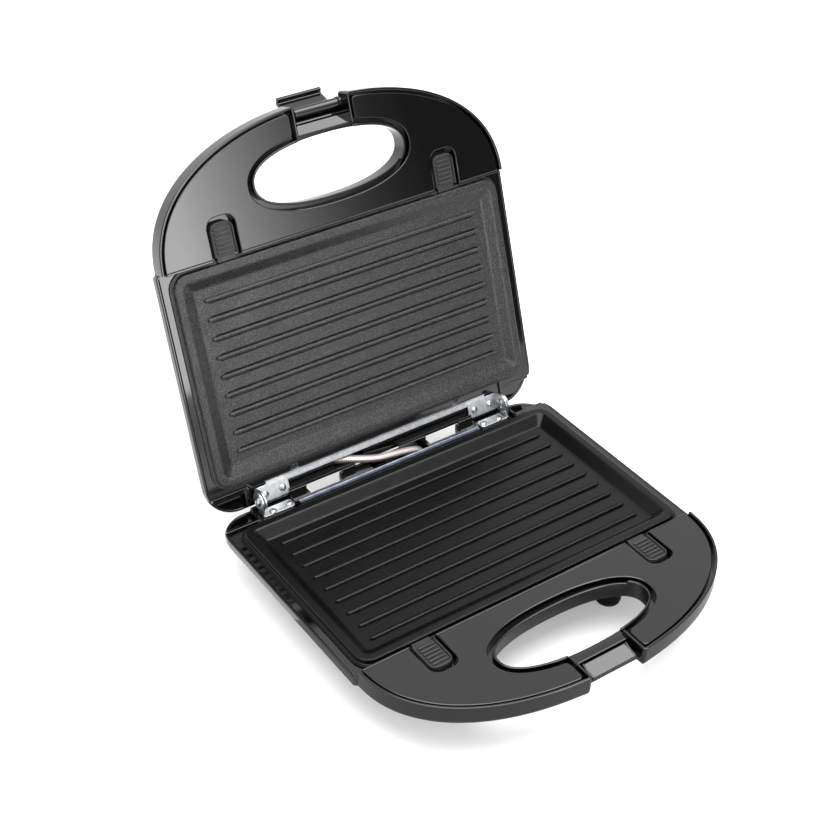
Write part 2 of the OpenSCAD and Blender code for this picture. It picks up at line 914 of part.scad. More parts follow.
base_bottom_shell();
base_top_cover();
lower_grill_plate();
lower_reflector_tray();
lower_heating_element();
lower_heater_saddles();
lower_tray_screws();
base_cross_strip();
base_hinge_bracket_left();
base_hinge_bracket_right();
base_bracket_screws();
hinge_pins();
hinge_washers();
latch_keeper();
base_clip_springs();
base_release_clip_left();
base_release_clip_right();
feet();
base_shell_screws();
cord_gland();
terminal_block();
base_thermostat();
base_thermal_fuse();
base_wiring();
wire_sleeve();
lid_outer_shell();
lid_inner_cover();
upper_grill_plate();
upper_reflector_tray();
upper_heating_element();
upper_heater_saddles();
upper_tray_screws();
lid_cross_strip();
lid_hinge_bracket_left();
lid_hinge_bracket_right();
lid_bracket_screws();
lid_clip_springs();
lid_release_clip_left();
lid_release_clip_right();
lid_shell_screws();
indicator_lens_power();
indicator_lens_ready();
indicator_lamps();
lid_thermostat();
lid_wiring();
latch_pin();
latch();
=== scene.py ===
"""Looks of the panini press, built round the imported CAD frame.

Each half is described in its own half frame, in millimetres, as the CAD does: the origin lies on the hinge
axis in the plane where the halves meet, -Y runs towards the handle and -Z runs into the half.
"""
import json
import math

import bpy
from mathutils import Matrix, Vector
from mathutils.geometry import delaunay_2d_cdt


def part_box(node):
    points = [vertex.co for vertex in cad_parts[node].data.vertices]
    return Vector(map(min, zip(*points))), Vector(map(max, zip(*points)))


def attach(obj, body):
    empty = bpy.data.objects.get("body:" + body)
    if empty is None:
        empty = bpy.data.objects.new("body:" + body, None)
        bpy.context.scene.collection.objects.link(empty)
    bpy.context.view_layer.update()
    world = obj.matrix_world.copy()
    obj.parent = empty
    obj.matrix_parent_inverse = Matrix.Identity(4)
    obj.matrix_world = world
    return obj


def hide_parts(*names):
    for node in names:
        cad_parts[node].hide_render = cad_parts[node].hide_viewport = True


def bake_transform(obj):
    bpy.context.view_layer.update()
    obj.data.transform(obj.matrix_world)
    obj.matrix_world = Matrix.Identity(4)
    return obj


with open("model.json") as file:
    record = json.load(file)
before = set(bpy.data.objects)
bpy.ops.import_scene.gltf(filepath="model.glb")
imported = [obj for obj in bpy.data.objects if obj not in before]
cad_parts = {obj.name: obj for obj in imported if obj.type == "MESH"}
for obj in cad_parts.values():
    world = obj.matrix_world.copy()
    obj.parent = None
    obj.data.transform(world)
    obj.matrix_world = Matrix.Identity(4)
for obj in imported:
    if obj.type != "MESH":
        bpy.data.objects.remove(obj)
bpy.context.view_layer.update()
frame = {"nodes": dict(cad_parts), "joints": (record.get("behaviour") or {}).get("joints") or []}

# ---------- the two half frames ----------

MM = 0.001
joints = {j["name"]: j for j in frame["joints"]}
hinge = Vector(joints["lid_hinge"]["pos_m"])
opening = math.radians(joints["lid_hinge"]["range_deg"][1])
HALVES = {
    "base": Matrix.Translation(hinge) @ Matrix.Scale(MM, 4),
    "lid": (Matrix.Translation(hinge) @ Matrix.Rotation(-opening, 4, "X")
            @ Matrix.Scale(-1, 4, (0, 0, 1)) @ Matrix.Scale(MM, 4)),
}


def base_box(node):
    """A base node's box in the base's half frame, in millimetres."""
    inverse = HALVES["base"].inverted()
    low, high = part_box(node)
    return inverse @ low, inverse @ high


shell_low, shell_high = base_box("base_bottom_shell")
plate_low, plate_high = base_box("lower_grill_plate")

# Driving sizes, from the frame
BODY_HALF = shell_high.x
REACH = -shell_low.y
BACK_Y = shell_high.y
FOOT_Z = base_box("feet")[0].z
FLANGE = 2.0
PLATE_HALF = plate_high.x - FLANGE
PLATE_FRONT = plate_low.y + FLANGE
PLATE_BACK = plate_high.y - FLANGE
RIM_Z = plate_high.z
BASIN = {"base": 6.1, "lid": 2.9}

# Heights and distances that the looks share with the CAD
WALL = 1.8
LIP_Z = -0.5
PANEL_Z = -1.5
SHELF_Z = -6.0
DECK_Z = -7.2
BRACKET_DECK_Z = -8.4
CORNER_Z = -10.0
BRIM_Z = -14.0
FLOOR_Z = -39.0
DECK_FRONT, DECK_BACK = -21.5, 2.4
CORNER_R = 22.0
HANDLE_Y = -151.4
HANDLE_HALF = BODY_HALF - 2
HANDLE_ROOT = -150.4
HANDLE_POWER = 2.2
GROOVE = 3.2
HOLE_A, HOLE_B, HOLE_Y, HOLE_POWER = 52.5, 18.5, -186.1, 2.3
HOLE_STEPS = 96
NOTCH_HALF = 18.5
NOTCH_SIDE = NOTCH_HALF + 0.3
NOTCH_Y = -206.8
CLIP_X = 79.0
POCKET_HALF, POCKET_TIP, POCKET_R, POCKET_Z = 9.4, -175.4, 6.4, -6.5
CLIP_HALF, CLIP_TIP, CLIP_R = 7.8, -171.9, 5.0
RECESS_X = 97.0
RAIL_END = -9.0
POST_X = 62.0
POST_YS = (-149.9, -9.0)
WINDOW = (33.0, 58.0)
WINDOW_Z = -19.0
LATCH_Y, LATCH_Z = -219.0, -9.0
LATCH_HALF = 15.5
KEEPER_FRONT, KEEPER_BACK, KEEPER_Z = -222.3, -212.5, -7.4
LENS_X, LENS_Y = 9.0, -96.0

# ---------- outlines ----------


def arc(cx, cy, r, a0, a1, n=8):
    """Points on an arc, its angles in degrees."""
    angles = [math.radians(a0 + (a1 - a0) * k / n) for k in range(n + 1)]
    return [(cx + r * math.cos(a), cy + r * math.sin(a)) for a in angles]


def power(c, n):
    """A cosine or sine raised for a superellipse of power n, its sign kept."""
    return math.copysign(abs(c) ** (2 / n), c)


def mirrored(points):
    """The left-hand twin of a right-hand stretch, so that the two run on as one path."""
    return [(-p[0], *p[1:]) for p in reversed(points)]


def corner(before, point, after, reach, n=5):
    """Soft corner at a point between its neighbours."""
    before, point, after = Vector(before), Vector(point), Vector(after)
    start = point + (before - point).normalized() * reach
    end = point + (after - point).normalized() * reach
    shares = [k / n for k in range(n + 1)]
    return [tuple(start * (1 - t) ** 2 + point * 2 * t * (1 - t) + end * t ** 2) for t in shares]


def rounded(points, radius, n=4, closed=True):
    """Softens the corners of an outline, all but the ends of an open one."""
    count = len(points)
    made = []
    for i, p in enumerate(points):
        before, after = points[i - 1], points[(i + 1) % count]
        if closed or 0 < i < count - 1:
            reach = min(radius, 0.45 * math.dist(p, before), 0.45 * math.dist(p, after))
            made += corner(before, p, after, reach, n)
        else:
            made.append(p)
    return made


def handle_edge(inset, stop_x):
    """Front edge of the casing from near the middle, where X is stop_x, round to the right-hand root."""
    half, depth = HANDLE_HALF - inset, REACH + HANDLE_ROOT - inset

    def point(a):
        return half * power(math.cos(a), HANDLE_POWER), HANDLE_ROOT - depth * power(math.sin(a), HANDLE_POWER)

    first = math.acos((stop_x / half) ** (HANDLE_POWER / 2))
    count = int(math.degrees(first) / 1.5)
    return [point(first * (1 - k / count)) for k in range(count + 1)]


def hole_points(grow, angles):
    """Superellipse of the finger hole, grown outwards, at some angles."""
    a, b = HOLE_A + grow, HOLE_B + grow
    return [(a * power(math.cos(t), HOLE_POWER), HOLE_Y + b * power(math.sin(t), HOLE_POWER)) for t in angles]


def hole_outline(grow):
    return hole_points(grow, [math.radians(3 * k) for k in range(120)])


def hole_rear(grow, side):
    """The grown finger hole from the notch's left side round the rear to its right side."""
    first = math.acos((side / (HOLE_A + grow)) ** (HOLE_POWER / 2))
    sweep = math.pi + 2 * first
    return hole_points(grow, [math.pi + first - sweep * k / HOLE_STEPS for k in range(HOLE_STEPS + 1)])


def far_from(points, spot, reach):
    """The points that lie further than a reach from a spot."""
    return [p for p in points if math.dist(p, spot) > reach]


def slot_end(half, tip, r, y_open):
    """Rounded end of the right-hand clip or its pocket, from its outer edge round to its inner one."""
    return [(CLIP_X + half, y_open), *arc(CLIP_X + half - r, tip + r, r, 0, -90, 12),
            *arc(CLIP_X - half + r, tip + r, r, -90, -180, 12), (CLIP_X - half, y_open)]


def rounded_box(x, y0, y1, r, n=8):
    """Counter-clockwise rounded rectangle, centred on X."""
    return [*arc(x - r, y1 - r, r, 0, 90, n), *arc(r - x, y1 - r, r, 90, 180, n),
            *arc(r - x, y0 + r, r, 180, 270, n), *arc(x - r, y0 + r, r, 270, 360, n)]


def rounded_box_at(x0, x1, y0, y1, r):
    """Rounded rectangle between two corners."""
    middle = (x0 + x1) / 2
    return [(p[0] + middle, p[1]) for p in rounded_box((x1 - x0) / 2, y0, y1, r)]


def rectangle(x0, x1, y0, y1):
    return [(x0, y0), (x1, y0), (x1, y1), (x0, y1)]


def belly_outline(inset, t=0.0):
    """The belly narrows as it goes down, most of all under the handle."""
    return rounded_box(BODY_HALF - inset - t, -167 + 0.65 * inset + t, BACK_Y - 0.15 * inset - t, 32 - t, 12)


def signed_area(points):
    """Positive where the outline runs counter-clockwise."""
    pairs = zip(points, [*points[1:], points[0]])
    return sum(a[0] * b[1] - b[0] * a[1] for a, b in pairs) / 2


def mitres(points, closed=True):
    """For each point of a path, the step that moves it one unit to its left with its neighbours."""
    count = len(points)
    steps = []
    for i in range(count):
        ends = [(i - 1) % count, i, (i + 1) % count]
        pairs = [(ends[0], ends[1]), (ends[1], ends[2])]
        if not closed:
            pairs = [p for p in pairs if p[0] < p[1]]
        normals = []
        for a, b in pairs:
            edge = Vector((points[b][0] - points[a][0], points[b][1] - points[a][1])).normalized()
            normals.append(Vector((-edge.y, edge.x)))
        mean = sum(normals, Vector((0, 0))) / len(normals)
        steps.append(mean / max(mean.length_squared, 0.3))
    return steps


# ---------- shapes ----------

# Ways for a shape's own height to point
UPRIGHT = Matrix.Identity(4)
ALONG_X = Matrix(((0, 0, 1, 0), (1, 0, 0, 0), (0, 1, 0, 0), (0, 0, 0, 1)))
ALONG_Y = Matrix(((0, 1, 0, 0), (0, 0, 1, 0), (1, 0, 0, 0), (0, 0, 0, 1)))


def at(x, y, z, turn=UPRIGHT):
    return Matrix.Translation((x, y, z)) @ turn


GLAND_PLACE = at(0, 0, -28, ALONG_Y)


class Shape:
    """The closed surfaces of one piece, collected in its half frame, in millimetres."""

    def __init__(self):
        self.points = []
        self.faces = []

    def add(self, points, faces, place=UPRIGHT):
        start = len(self.points)
        self.points += [place @ Vector(p) for p in points]
        self.faces += [[start + i for i in face] for face in faces]

    def skin(self, loops, place=UPRIGHT, closed=True, round_trip=False):
        """Quads between loops of equally many points. Counter-clockwise loops that rise face outwards."""
        count = len(loops[0])
        faces = []
        for k in range(len(loops) - (0 if round_trip else 1)):
            low, high = k * count, (k + 1) % len(loops) * count
            for i in range(count if closed else count - 1):
                j = (i + 1) % count
                faces.append([low + i, low + j, high + j, high + i])
        self.add([p for loop in loops for p in loop], faces, place)

    def cap(self, loops, up, place=UPRIGHT):
        """Level face over an outline and its holes."""
        points = [Vector(p) for loop in loops for p in loop]
        height = points[0].z
        rings, start = [], 0
        for loop in loops:
            ring = list(range(start, start + len(loop)))
            rings.append(ring if signed_area(loop) > 0 else ring[::-1])
            start += len(loop)
        # Output type 1 keeps what lies inside the rings, and each face's owners are the rings round it
        made, _, faces, sources, _, owners = delaunay_2d_cdt([p.xy for p in points], [], rings, 1, 1e-6)
        index = []
        for xy, source in zip(made, sources):
            if source:
                index.append(source[0])
            else:
                index.append(len(points))
                points.append(Vector((*xy, height)))
        kept = []
        for face, owner in zip(faces, owners):
            if list(owner) == [0]:
                a, b, c = (index[i] for i in face)
                rises = (points[b] - points[a]).cross(points[c] - points[a]).z > 0
                kept.append([a, b, c] if rises == up else [a, c, b])
        self.add(points, kept, place)

    def stack(self, loops, place=UPRIGHT):
        """Solid through rising loops, closed at both ends."""
        self.skin(loops, place)
        self.cap([loops[0]], False, place)
        self.cap([loops[-1]], True, place)

    def slab(self, outline, z0, z1, top=0.0, bottom=0.0, holes=(), place=UPRIGHT):
        """Plate with its top and bottom edges rounded. A hole is (its outline, its own top rounding)."""
        lows, highs = [], []
        for points, side, crown in [(outline, 1, top), *((hole, -1, r) for hole, r in holes)]:
            points = points if signed_area(points) > 0 else points[::-1]
            ways = mitres(points)
            rings = []
            for radius, sign in ((bottom, 1), (crown, -1)):
                turns = [math.radians(a) for a in (0, 30, 60, 90)] if radius > 0 else [0.0]
                ends = []
                for a in turns:
                    inset = side * radius * (1 - math.sin(a))
                    z = (z0 if sign > 0 else z1) + sign * radius * (1 - math.cos(a))
                    ends.append([(p[0] + w.x * inset, p[1] + w.y * inset, z) for p, w in zip(points, ways)])
                rings += ends if sign > 0 else ends[::-1]
            lows.append(rings[0])
            highs.append(rings[-1])
            self.skin([ring[::side] for ring in rings], place)
        self.cap(lows, False, place)
        self.cap(highs, True, place)

    def block(self, x0, x1, y0, y1, z0, z1, edge=0.4, place=UPRIGHT):
        self.slab(rectangle(x0, x1, y0, y1), z0, z1, edge, edge, place=place)

    def lathe(self, profile, place=UPRIGHT, sides=48, hollow=False):
        """Solid of revolution. Its profile rises as (radius, height), and a hollow one's is closed."""
        turns = [2 * math.pi * k / sides for k in range(sides)]
        loops = [[(r * math.cos(a), r * math.sin(a), z) for a in turns] for r, z in profile]
        if hollow:
            self.skin(loops, place, round_trip=True)
        else:
            self.stack(loops, place)

    def join(self, other):
        self.add(other.points, other.faces)

    def flipped(self):
        """The shape's left-hand copy alone."""
        made = Shape()
        made.points = [Vector((-p.x, p.y, p.z)) for p in self.points]
        made.faces = [face[::-1] for face in self.faces]
        return made

    def twin(self):
        """Adds the left-hand copy of everything so far."""
        self.join(self.flipped())
        return self

    def mesh(self, name, place):
        flip = place.determinant() < 0
        mesh = bpy.data.meshes.new(name)
        mesh.from_pydata([place @ p for p in self.points], [], [f[::-1] if flip else f for f in self.faces])
        mesh.validate()
        return mesh


def carve(piece, cutter):
    """Takes one shape's volume away from a piece."""
    modifier = piece.modifiers.new("Carve", "BOOLEAN")
    modifier.operation = "DIFFERENCE"
    modifier.solver = "EXACT"
    modifier.use_self = True
    modifier.object = cutter
    view = bpy.context.evaluated_depsgraph_get()
    old = piece.data
    piece.data = bpy.data.meshes.new_from_object(piece.evaluated_get(view))
    piece.modifiers.clear()
    piece.data.name = old.name
    bpy.data.meshes.remove(old)


def build(shape, name, half, body, material, node, cut=None):
    """Makes a piece from a shape, less its cutter, in place of its CAD node, and rides it on its body."""
    piece = bpy.data.objects.new(name, shape.mesh(name, HALVES[half]))
    bpy.context.scene.collection.objects.link(piece)
    if cut is not None:
        cutter = bpy.data.objects.new("cutter", cut.mesh("cutter", HALVES[half]))
        bpy.context.scene.collection.objects.link(cutter)
        carve(piece, cutter)
        bpy.data.objects.remove(cutter)
    piece.data.shade_smooth()
    piece.data.set_sharp_from_angle(angle=math.radians(50))
    normals = piece.modifiers.new("Normals", "WEIGHTED_NORMAL")
    normals.keep_sharp = True
    piece.data.materials.clear()
    piece.data.materials.append(material)
    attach(piece, body)
    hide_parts(node)


# ---------- materials ----------

# Most of a noise texture's values lie between these
NOISE_LOW, NOISE_HIGH = 0.3, 0.7
WHITE = (1, 1, 1, 1)


class Finish:
    """A procedural material: one shader with its roughness, colour and relief built up by noise."""

    def __init__(self, name, colour, roughness, metallic=0.0, **inputs):
        self.material = bpy.data.materials.new(name)
        self.material.use_nodes = True
        self.material.diffuse_color = (*colour, 1)
        self.nodes = self.material.node_tree.nodes
        self.links = self.material.node_tree.links
        self.shader = self.nodes["Principled BSDF"]
        self.colour = colour
        self.height = None
        self.place = self.nodes.new("ShaderNodeTexCoord").outputs["Object"]
        self.shader.inputs["Base Color"].default_value = (*colour, 1)
        self.shader.inputs["Roughness"].default_value = roughness
        self.shader.inputs["Metallic"].default_value = metallic
        for socket, value in inputs.items():
            self.shader.inputs[socket.replace("_", " ")].default_value = value

    def node(self, kind, **settings):
        made = self.nodes.new("ShaderNode" + kind)
        for key, value in settings.items():
            if key in made.inputs.keys():
                made.inputs[key].default_value = value
            else:
                setattr(made, key, value)
        return made

    def link(self, source, target):
        self.links.new(source, target)

    def calculate(self, operation, *terms):
        """Result of a math node, each of whose terms is a number or another node's output."""
        made = self.node("Math", operation=operation)
        for socket, term in zip(made.inputs, terms):
            if isinstance(term, (int, float)):
                socket.default_value = term
            else:
                self.link(term, socket)
        return made.outputs["Value"]

    def stretched(self, x, y, z):
        """Texture place stretched along an axis, for brushed or drawn metal."""
        mapping = self.node("Mapping")
        mapping.inputs["Scale"].default_value = (x, y, z)
        self.link(self.place, mapping.inputs["Vector"])
        return mapping.outputs["Vector"]

    def noise(self, grain_mm, detail=3.0, place=None):
        made = self.node("TexNoise", Scale=1000 / grain_mm, Detail=detail)
        self.link(place or self.place, made.inputs["Vector"])
        return made.outputs["Fac"]

    def cells(self, grain_mm, output="Distance"):
        made = self.node("TexVoronoi", Scale=1000 / grain_mm)
        self.link(self.place, made.inputs["Vector"])
        return made.outputs[output]

    def remap(self, value, low, high, to_low, to_high):
        made = self.node("MapRange")
        for key, number in zip(("From Min", "From Max", "To Min", "To Max"), (low, high, to_low, to_high)):
            made.inputs[key].default_value = number
        self.link(value, made.inputs["Value"])
        return made.outputs["Result"]

    def roughness(self, value, low, high):
        self.link(self.remap(value, NOISE_LOW, NOISE_HIGH, low, high), self.shader.inputs["Roughness"])
        return self

    def tint(self, value, other, low, high):
        """Blends the colour so far towards another as the value goes from low to high."""
        mix = self.node("Mix", data_type="RGBA")
        socket = self.shader.inputs["Base Color"]
        if socket.is_linked:
            self.link(socket.links[0].from_socket, mix.inputs["A"])
        else:
            mix.inputs["A"].default_value = (*self.colour, 1)
        mix.inputs["B"].default_value = (*other, 1)
        self.link(self.remap(value, low, high, 0, 1), mix.inputs["Factor"])
        self.link(mix.outputs["Result"], socket)
        return self

    def relief(self, value, depth_mm, strength):
        """Adds a bump on top of those before it."""
        bump = self.node("Bump", Strength=strength, Distance=depth_mm * MM)
        self.link(value, bump.inputs["Height"])
        if self.height is not None:
            self.link(self.height, bump.inputs["Normal"])
        self.height = bump.outputs["Normal"]
        self.link(self.height, self.shader.inputs["Normal"])
        return self

    def edge_wear_and_highlight(self, other, width_mm=0.5):
        """Lightens the outer edges, partly as wear where handling rubs them and partly as a painted highlight
        along them.
        """
        bevel = self.node("Bevel", Radius=width_mm * MM)
        bevel.samples = 4
        plain = self.node("NewGeometry")
        turn = self.node("VectorMath", operation="DOT_PRODUCT")
        self.link(bevel.outputs["Normal"], turn.inputs[0])
        self.link(plain.outputs["Normal"], turn.inputs[1])
        edge = self.remap(turn.outputs["Value"], 0.98, 0.80, 0, 1)
        broken = self.calculate("MULTIPLY", edge, self.remap(self.noise(1.5), 0.45, 0.65, 0, 1))
        return self.tint(broken, other, 0, 1)


def gloss_black():
    """Polished plastic, wavy from the mould, with fine dust, and edges lightened partly as rubbing wear and
    partly as painted highlight.
    """
    made = Finish("gloss_black", (0.0012, 0.0012, 0.0013), 0.06, Specular_IOR_Level=0.6)
    made.roughness(made.noise(28), 0.04, 0.09)
    made.tint(made.noise(0.25, 2), (0.004, 0.004, 0.0043), 0.62, 0.78)
    made.relief(made.noise(16, 1), 0.03, 0.3)
    made.relief(made.noise(0.5, 2), 0.001, 0.5)
    return made.edge_wear_and_highlight((0.012, 0.012, 0.013), 0.3).material


def nonstick(name, colour, fleck, roughness, sheen):
    """Sprayed coating with fine orange peel and pale flecks."""
    made = Finish(name, colour, roughness, Specular_IOR_Level=sheen)
    made.roughness(made.noise(14), roughness - 0.06, roughness + 0.06)
    made.tint(made.noise(30, 2), tuple(c * 0.7 for c in colour), 0.35, 0.8)
    made.tint(made.noise(0.7, 2), fleck, 0.46, 0.66)
    made.relief(made.noise(0.7, 3), 0.14, 0.9)
    return made.edge_wear_and_highlight(tuple(c * 2.4 for c in colour), 0.4).material


def moulded(name, colour, roughness, grain_mm=0.35, depth_mm=0.02):
    """Matte plastic or rubber from an etched mould."""
    made = Finish(name, colour, roughness, Specular_IOR_Level=0.4)
    made.roughness(made.noise(9), roughness - 0.08, roughness + 0.08)
    made.tint(made.noise(0.9), tuple(c * 1.7 for c in colour), 0.5, 0.8)
    made.relief(made.cells(grain_mm), depth_mm, 0.6)
    return made.edge_wear_and_highlight(tuple(c * 2.5 for c in colour)).material


def galvanised():
    """Zinc coat: faint spangle with drawing lines, fine speckle and dull oxide."""
    made = Finish("galvanised", (0.56, 0.57, 0.59), 0.36, 1.0)
    made.tint(made.cells(2.2, "Color"), (0.42, 0.43, 0.46), 0.2, 0.9)
    made.tint(made.noise(0.4, 3), (0.74, 0.75, 0.77), 0.52, 0.7)
    made.roughness(made.noise(1.9), 0.32, 0.42)
    made.relief(made.noise(0.3, 2, made.stretched(0.05, 1, 1)), 0.004, 0.4)
    return made.edge_wear_and_highlight((0.75, 0.75, 0.77), 0.2).material


def brushed(name, colour, dark, roughness):
    """Sheet or wire with fine drawing lines along X."""
    made = Finish(name, colour, roughness, 1.0)
    lines = made.noise(0.25, 3, made.stretched(0.03, 1, 1))
    made.roughness(lines, roughness - 0.08, roughness + 0.1)
    made.tint(made.noise(7, 4), dark, 0.45, 0.75)
    made.relief(lines, 0.01, 0.5)
    return made.edge_wear_and_highlight(tuple(min(1, c * 1.5) for c in colour), 0.3).material


def turned(name, colour):
    """Plated screw steel, a little blotchy."""
    made = Finish(name, colour, 0.25, 1.0)
    made.roughness(made.noise(0.8), 0.16, 0.36)
    made.tint(made.noise(1.4, 4), (0.22, 0.22, 0.24), 0.5, 0.8)
    made.relief(made.noise(0.2, 2), 0.006, 0.5)
    return made.edge_wear_and_highlight((0.7, 0.7, 0.7), 0.2).material


def oxidised():
    """Heater sheath, straw and blue where it has been hot."""
    made = Finish("oxidised_sheath", (0.20, 0.19, 0.18), 0.45, 1.0)
    made.tint(made.noise(18, 3), (0.16, 0.13, 0.10), 0.4, 0.6)
    made.tint(made.noise(11, 3), (0.08, 0.09, 0.13), 0.55, 0.7)
    made.roughness(made.noise(1.5, 4), 0.35, 0.6)
    made.relief(made.noise(0.6, 4), 0.02, 0.5)
    return made.material


def fired():
    """Glazed ceramic."""
    made = Finish("fired_ceramic", (0.72, 0.66, 0.52), 0.3)
    made.roughness(made.noise(3), 0.22, 0.45)
    made.tint(made.noise(1.1, 4), (0.52, 0.45, 0.34), 0.55, 0.8)
    made.relief(made.noise(2.2, 2), 0.04, 0.4)
    return made.edge_wear_and_highlight((0.82, 0.78, 0.68)).material


def woven(name, colour, dark, strands_round, pitch_mm):
    """Metallic braid over a tube: two sets of strands crossing, drawn on the tube's own turn and length."""
    made = Finish(name, colour, 0.3, 0.7)
    split = made.node("SeparateXYZ")
    made.link(made.node("UVMap").outputs["UV"], split.inputs["Vector"])
    waves = []
    for way in (1, -1):
        around = made.calculate("MULTIPLY", split.outputs["X"], way * strands_round * 2 * math.pi)
        phase = made.calculate("MULTIPLY_ADD", split.outputs["Y"], 2 * math.pi / pitch_mm, around)
        waves.append(made.calculate("SINE", phase))
    strands = made.remap(made.calculate("MULTIPLY", *waves), -1, 1, 0, 1)
    made.tint(strands, dark, 0.55, 0.3)
    made.tint(made.noise(0.4, 3), dark, 0.5, 0.8)
    made.relief(strands, 0.25, 0.9)
    return made.material


def lens(name, colour):
    """Tinted indicator plastic with a faint frost and moulding swirl."""
    made = Finish(name, colour, 0.15, Transmission_Weight=0.6, IOR=1.49)
    made.roughness(made.noise(2), 0.1, 0.3)
    made.tint(made.noise(3, 3), tuple(c * 0.5 for c in colour), 0.4, 0.8)
    made.relief(made.cells(0.9), 0.03, 0.5)
    return made.material


SHELL = gloss_black()
# Both plates have one and the same coating: the lid's copy is painted lighter and the base's copy darker, as
# painted light and shade
LIT_AND_SHADED_COAT = {
    "base": nonstick("coating_base_painted_darker", (0.0012, 0.0012, 0.0013), (0.004, 0.004, 0.0042), 0.22, 0.2),
    "lid": nonstick("coating_lid_painted_lighter", (0.0025, 0.0025, 0.0027), (0.044, 0.043, 0.044), 0.37, 0.4),
}
CLIP = moulded("matte_clip", (0.012, 0.012, 0.013), 0.42)
RUBBER = moulded("rubber", (0.015, 0.015, 0.015), 0.75, 0.6, 0.04)
ZINC = galvanised()
STRIP = brushed("blued_strip", (0.26, 0.29, 0.36), (0.15, 0.17, 0.22), 0.3)
SHEET = brushed("aluminised_sheet", (0.70, 0.71, 0.72), (0.45, 0.45, 0.46), 0.32)
SPRING = brushed("spring_wire", (0.55, 0.55, 0.56), (0.25, 0.24, 0.24), 0.28)
CAN = brushed("thermostat_can", (0.75, 0.75, 0.74), (0.5, 0.48, 0.45), 0.3)
SCREW = turned("plated_screw", (0.46, 0.46, 0.46))
SHEATH = oxidised()
CERAMIC = fired()
SLEEVE = woven("braided_sleeve", (0.60, 0.54, 0.53), (0.20, 0.17, 0.17), 2, 2.6)
WIRE = moulded("wire_insulation", (0.30, 0.03, 0.02), 0.5, 0.4, 0.03)
RED_LENS = lens("red_lens", (0.65, 0.03, 0.02))
GREEN_LENS = lens("green_lens", (0.02, 0.42, 0.10))
LAMP = lens("lamp_glass", (0.85, 0.55, 0.35))

# ---------- casings ----------


def rim(shape, rear_top):
    """Skirt, rounded brim and raised lip, swept from one side of the notch round to the other."""
    # Each point of the path is X, Y, the height of its top edge, and its share of each inset
    front = handle_edge(0, NOTCH_HALF)
    bend = rounded([(NOTCH_HALF, NOTCH_Y), front[0], front[4]], 2.6, closed=False)
    x, y = BODY_HALF - CORNER_R, BACK_Y - CORNER_R
    drop = math.degrees(math.asin((RAIL_END - y) / CORNER_R))
    near = 0.05
    right = [(*bend[0], LIP_Z, 0.3), *[(*p, LIP_Z, 0.6) for p in bend[1:-1]]]
    right += [(*p, LIP_Z, 1) for p in front[4:] if p[1] < HANDLE_Y - 1]
    right += [(HANDLE_HALF, HANDLE_Y - near, LIP_Z, 1), (HANDLE_HALF, HANDLE_Y, SHELF_Z, 1),
              (BODY_HALF, HANDLE_Y + 2, SHELF_Z, 1)]
    right += [(*p, SHELF_Z, 1) for p in arc(x, y, CORNER_R, 0, drop - 0.1, 4)]
    right += [(*p, CORNER_Z + 0.5, 1) for p in arc(x, y, CORNER_R, drop + 0.1, 90, 12)]
    right += [(RECESS_X + near, BACK_Y, CORNER_Z + 0.5, 1), (RECESS_X, BACK_Y, rear_top, 1)]
    path = right + mirrored(right)
    ways = mitres(path, closed=False)
    # Each entry of the section is inset, inset behind the handle, height, and whether from the top edge
    brim = [(5.4 * (1 - t) ** 2 + 0.4 * t * (1 - t), BRIM_Z + 3.8 * t ** 2 + 0.4 * t * (1 - t))
            for t in (0, 0.17, 0.34, 0.5, 0.67, 0.84, 1)]
    crown = arc(0.6, -0.6, 0.6, 180, 90, 3)
    section = [(7.0, 3.4, BRIM_Z + 1.4, False), (7.0, 3.4, BRIM_Z, False)]
    section += [(i, i * 0.22, z, False) for i, z in brim]
    section += [(i, i, z, True) for i, z in crown]
    section += [(WALL - i, WALL - i, z, True) for i, z in reversed(crown)]
    section += [(1.9, 1.9, CORNER_Z - 0.3, False), (6.5, 3.2, BRIM_Z + 1.8, False)]
    loops = []
    for inset, rear_inset, z, from_top in section:
        loop = []
        for (px, py, top, share), way in zip(path, ways):
            along = rear_inset if py > HANDLE_Y else inset
            if from_top:
                share = max(share, 0.85)
            loop.append((px + way.x * inset * share, py + way.y * along * share, z + top if from_top else z))
        loops.append(loop)
    shape.skin(loops, closed=False, round_trip=True)
    ends = [[loop[k] for loop in loops] for k in (0, -1)]
    shape.add(ends[0], [list(range(len(section)))])
    shape.add(ends[1], [list(reversed(range(len(section))))])


def underside(shape, notch_back):
    """Flat bottom of the handle and the flange that the belly hangs from."""
    inset = 6.0
    x0 = NOTCH_HALF + 1.5
    r = CORNER_R - inset
    right = [(x0, notch_back), *handle_edge(inset, x0)[:-1], (BODY_HALF - inset, HANDLE_Y + 2),
             *arc(BODY_HALF - CORNER_R, BACK_Y - 2.4 - r, r, 0, 90)]
    shape.slab(right + mirrored(right), BRIM_Z + 0.1, BRIM_Z + 2,
               holes=[(hole_outline(2), 0), (belly_outline(8, 2.2), 0)])
    shape.slab(hole_outline(3), BRIM_Z, -8.4, 0, 1.1, holes=[(hole_outline(0.4), 0)])
    shape.block(-NOTCH_HALF - 0.5, NOTCH_HALF + 0.5, notch_back, notch_back + 2, BRIM_Z, DECK_Z - 0.2)


def belly(shape):
    """Bowl under the plates, a smooth profile outside and a plain one inside."""
    outside = rounded([(48, FLOOR_Z), (34, FLOOR_Z), (20, -25), (8, BRIM_Z + 0.05)], 9, 8, closed=False)
    inside = [(8, BRIM_Z + 2), (20, -25), (34, FLOOR_Z + 2)]
    loops = [[(*p, z) for p in belly_outline(inset)] for inset, z in outside]
    loops += [[(*p, z) for p in belly_outline(inset, 2.2)] for inset, z in inside]
    shape.stack(loops)


